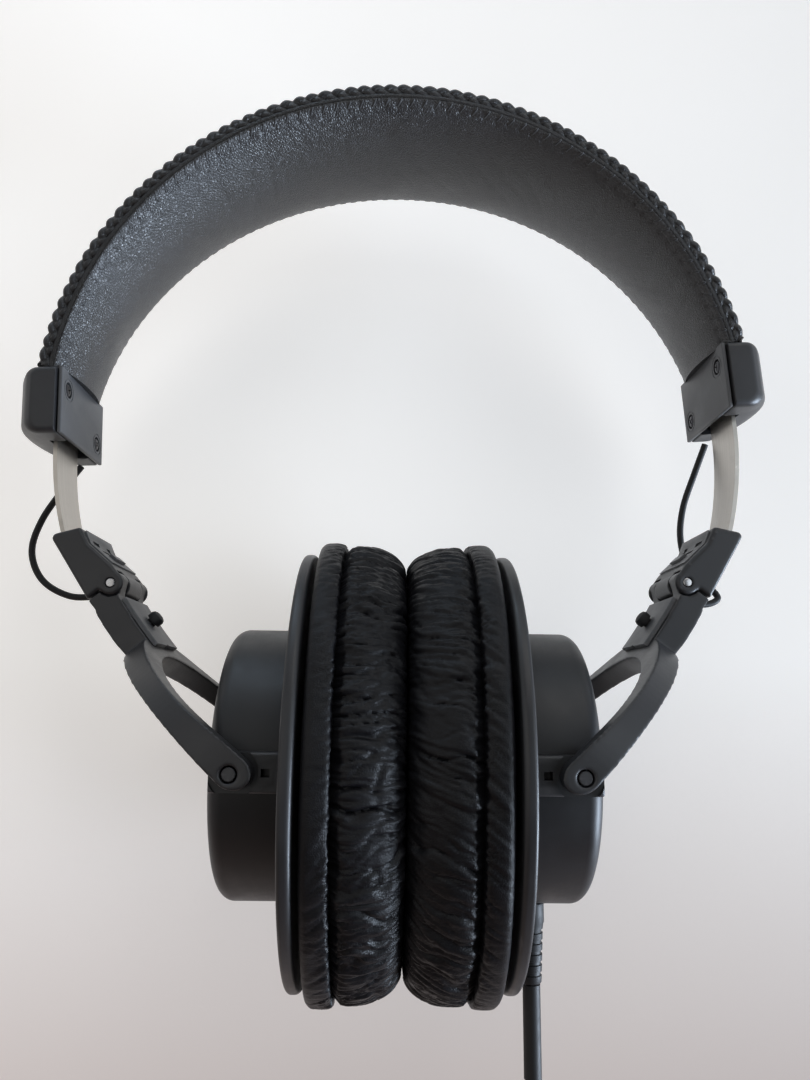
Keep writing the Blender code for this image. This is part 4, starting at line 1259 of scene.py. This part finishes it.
def build_pad(side, sign):
    """The ear pad: blown up by cloth pressure, then pleated and drawn in at its sewn seam."""
    around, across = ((960, 128))
    points, coordinates = pad_rings(around, across, PUFF_INSET)
    start, moved = puffed_field()
    tree = KDTree(len(start))
    for i, p in enumerate(start):
        tree.insert(p, i)
    tree.balance()
    for i, p in enumerate(points):
        found = tree.find_n(p, 6)
        weights = np.array([1 / (dist + 0.4) ** 2 for _, _, dist in found])
        shift = (moved[[j for _, j, _ in found]] * weights[:, None]).sum(axis=0) / weights.sum()
        points[i] = p + shift
    grid = points.reshape(around, across, 3)
    round_step = np.roll(grid, -1, axis=0) - np.roll(grid, 1, axis=0)
    cross_step = np.roll(grid, -1, axis=1) - np.roll(grid, 1, axis=1)
    normals = np.cross(round_step, cross_step)
    normals /= np.linalg.norm(normals, axis=2)[:, :, None]
    middle_ring = grid.mean(axis=1)[:, None, :]
    if ((grid - middle_ring) * normals).sum() < 0:
        normals = -normals
    perimeter = coordinates[-1][0] + coordinates[1 + across][0]
    relief = np.zeros(around * across)
    for i, (u, d, a) in enumerate(coordinates):
        if points[i][0] > PAD_BACK - 0.15 or d > 44 or d < -9:
            continue
        ends = min(1.0, u / 6.0)  # the last pleats run into the first
        value = pad_relief(u, d, a, side)
        if ends < 1:
            value = value * ends + pad_relief(u + perimeter, d, a, side) * (1 - ends)
        relief[i] = value
    grid = grid + normals * relief.reshape(around, across)[:, :, None]
    grid[:, :, 0] = np.clip(grid[:, :, 0], CONTACT, PAD_BACK)
    grid[:, :, 0] -= PIVOT_X
    bm = ring_mesh(grid.reshape(-1, 3), around, across)
    node = f"ear_pad_{side}"
    where = FRAMES[f"cup_{side}"]
    piece = dress(node, "leather", bm, "pad_leather", where, f"cup_{side}", sign, 75)
    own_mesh(piece)


# --- wires ---


WIRE_RADIUS = 0.8
WIRES = {  # (x, y, z) from the cups' centre
    "left": [(80.3, 9.3, 69.0), (84.0, 10.5, 64.5), (89.5, 11.5, 56.0), (91.5, 12.0, 48.0),
             (88.5, 12.6, 41.0), (81.5, 12.8, 37.2), (74.0, 12.0, 37.4), (70.0, 9.4, 38.7)],
    "right": [(75.4, 9.3, 77.6), (72.6, 10.5, 70.0), (69.9, 11.8, 62.0), (69.0, 12.6, 54.5),
              (70.5, 13.2, 48.0), (75.0, 13.6, 43.0), (77.6, 12.9, 39.0), (73.0, 12.0, 37.4),
              (67.4, 9.4, 40.4)],
}


def build_wire(side, sign):
    """The thin wire from the cap to the block, in a fixed curve between them."""
    where = Matrix.Translation((0, 0, FRAMES["cup_right"].translation.z))
    path = smooth_path(WIRES[side], 12)
    jacket = tube(path, WIRE_RADIUS, 20)
    wire = dress(f"signal_wire_{side}", "jacket", jacket, "black_rubber", where, None, sign, 60)
    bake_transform(wire)


# --- stage, light and camera ---

TABLE_Y = 43.5  # the headphones lie with their rear side on a table
CAMERA = (-3.80, -185.37, -133.11)
CAMERA_UP, CAMERA_YAW, CAMERA_ROLL = 0.1965, -0.0188, -0.0125
LENS = 27.03


def build_stage():
    bm = bmesh.new()
    bmesh.ops.create_grid(bm, x_segments=8, y_segments=8, size=1.4)
    bm.transform(Matrix.Translation((0, TABLE_Y * MM, -0.1)) @ Matrix.Rotation(pi / 2, 4, "X"))
    for face in bm.faces:
        if face.normal.y > 0:
            face.normal_flip()
    table = as_object("table", bm)
    table.data.materials.append(MATERIALS["table"])


def add_light(name, place, target, size, power, colour):
    data = bpy.data.lights.new(name, "AREA")
    data.shape = "RECTANGLE"
    data.size, data.size_y = size
    data.energy = power
    data.color = colour
    light = linked(name, data)
    light.location = place
    direction = Vector(target) - Vector(place)
    light.rotation_euler = direction.to_track_quat("-Z", "Y").to_euler()


def build_lights():
    """Daylight from the right and above, soft light all round, and little from behind the camera."""
    target = (0, 0, -0.1)
    add_light("window", (1.35, -0.16, -0.62), target, (0.6, 0.6), 42.0, (0.70, 0.83, 1.0))
    add_light("skylight", (-0.3, -0.12, 1.1), target, (0.7, 0.25), 1.9, (0.62, 0.80, 1.0))
    add_light("lamp", (0.85, -1.05, 0.0), target, (0.9, 0.9), 3.8, (0.85, 0.93, 1.0))
    add_light("room", (-0.6, -1.25, 0.0), target, (1.2, 1.2), 3.4, (1.0, 0.98, 0.95))
    add_light("ceiling", (0.35, -0.9, 0.95), target, (0.6, 0.6), 2.2, (1.0, 0.96, 0.92))
    build_world()


def build_world():
    """Pale to the eye; as light, cool above, warm and dim below, and dark round the viewer's side."""
    world = bpy.data.worlds.new("pale_room")
    world.use_nodes = True
    tree = world.node_tree
    link = tree.links.new
    nodes = tree.nodes
    background = nodes["Background"]
    split = nodes.new("ShaderNodeSeparateXYZ")
    link(nodes.new("ShaderNodeTexCoord").outputs["Generated"], split.inputs[0])

    def over(axis, limits):
        made = nodes.new("ShaderNodeMapRange")
        link(split.outputs[axis], made.inputs["Value"])
        for key, value in limits.items():
            made.inputs[key].default_value = value
        return made.outputs[0]

    height = over("Z", {"From Min": -0.8, "From Max": 0.9})
    tone = nodes.new("ShaderNodeMix")
    tone.data_type = "RGBA"
    link(height, tone.inputs["Factor"])
    tone.inputs["A"].default_value = (0.34, 0.25, 0.22, 1.0)
    tone.inputs["B"].default_value = (0.86, 0.93, 1.0, 1.0)
    ring = over("Y", {"From Min": -0.95, "From Max": -0.15, "To Min": 0.02, "To Max": 0.9})
    link(tone.outputs["Result"], background.inputs["Color"])
    link(ring, background.inputs["Strength"])
    seen = nodes.new("ShaderNodeBackground")
    seen.inputs["Color"].default_value = (0.80, 0.79, 0.775, 1.0)
    mix = nodes.new("ShaderNodeMixShader")
    link(nodes.new("ShaderNodeLightPath").outputs["Is Camera Ray"], mix.inputs[0])
    link(background.outputs[0], mix.inputs[1])
    link(seen.outputs[0], mix.inputs[2])
    link(mix.outputs[0], nodes["World Output"].inputs["Surface"])
    bpy.context.scene.world = world
    bpy.context.scene.view_settings.view_transform = "Standard"


def build_camera():
    data = bpy.data.cameras.new("camera")
    data.lens = LENS
    data.sensor_width = 36
    data.clip_start = 0.01
    camera = linked("camera", data)
    upright = Matrix.Rotation(pi / 2, 4, "X")
    turn = (
        Matrix.Rotation(CAMERA_YAW, 4, "Z")
        @ Matrix.Rotation(CAMERA_UP, 4, "X")
        @ Matrix.Rotation(CAMERA_ROLL, 4, "Y")
    )
    camera.matrix_world = Matrix.Translation(Vector(CAMERA) * MM) @ turn @ upright
    bpy.context.scene.camera = camera


def dress_cad_nodes():
    """Every part that still shows gets the finish of its own slot."""
    slots = {entry["node"]: entry["material_slot"] for entry in frame["record"]["subparts"]}
    for name, node in frame["nodes"].items():
        node.data.materials.clear()
        node.data.materials.append(MATERIALS[slots[name]])


def main():
    dress_cad_nodes()
    build_headband()
    for side, sign in SIDES.items():
        build_cap(side, sign)
        build_block(side, sign)
        build_yoke(side, sign)
        build_cup(side, sign)
        build_wire(side, sign)
    build_stage()
    build_lights()
    build_camera()


main()
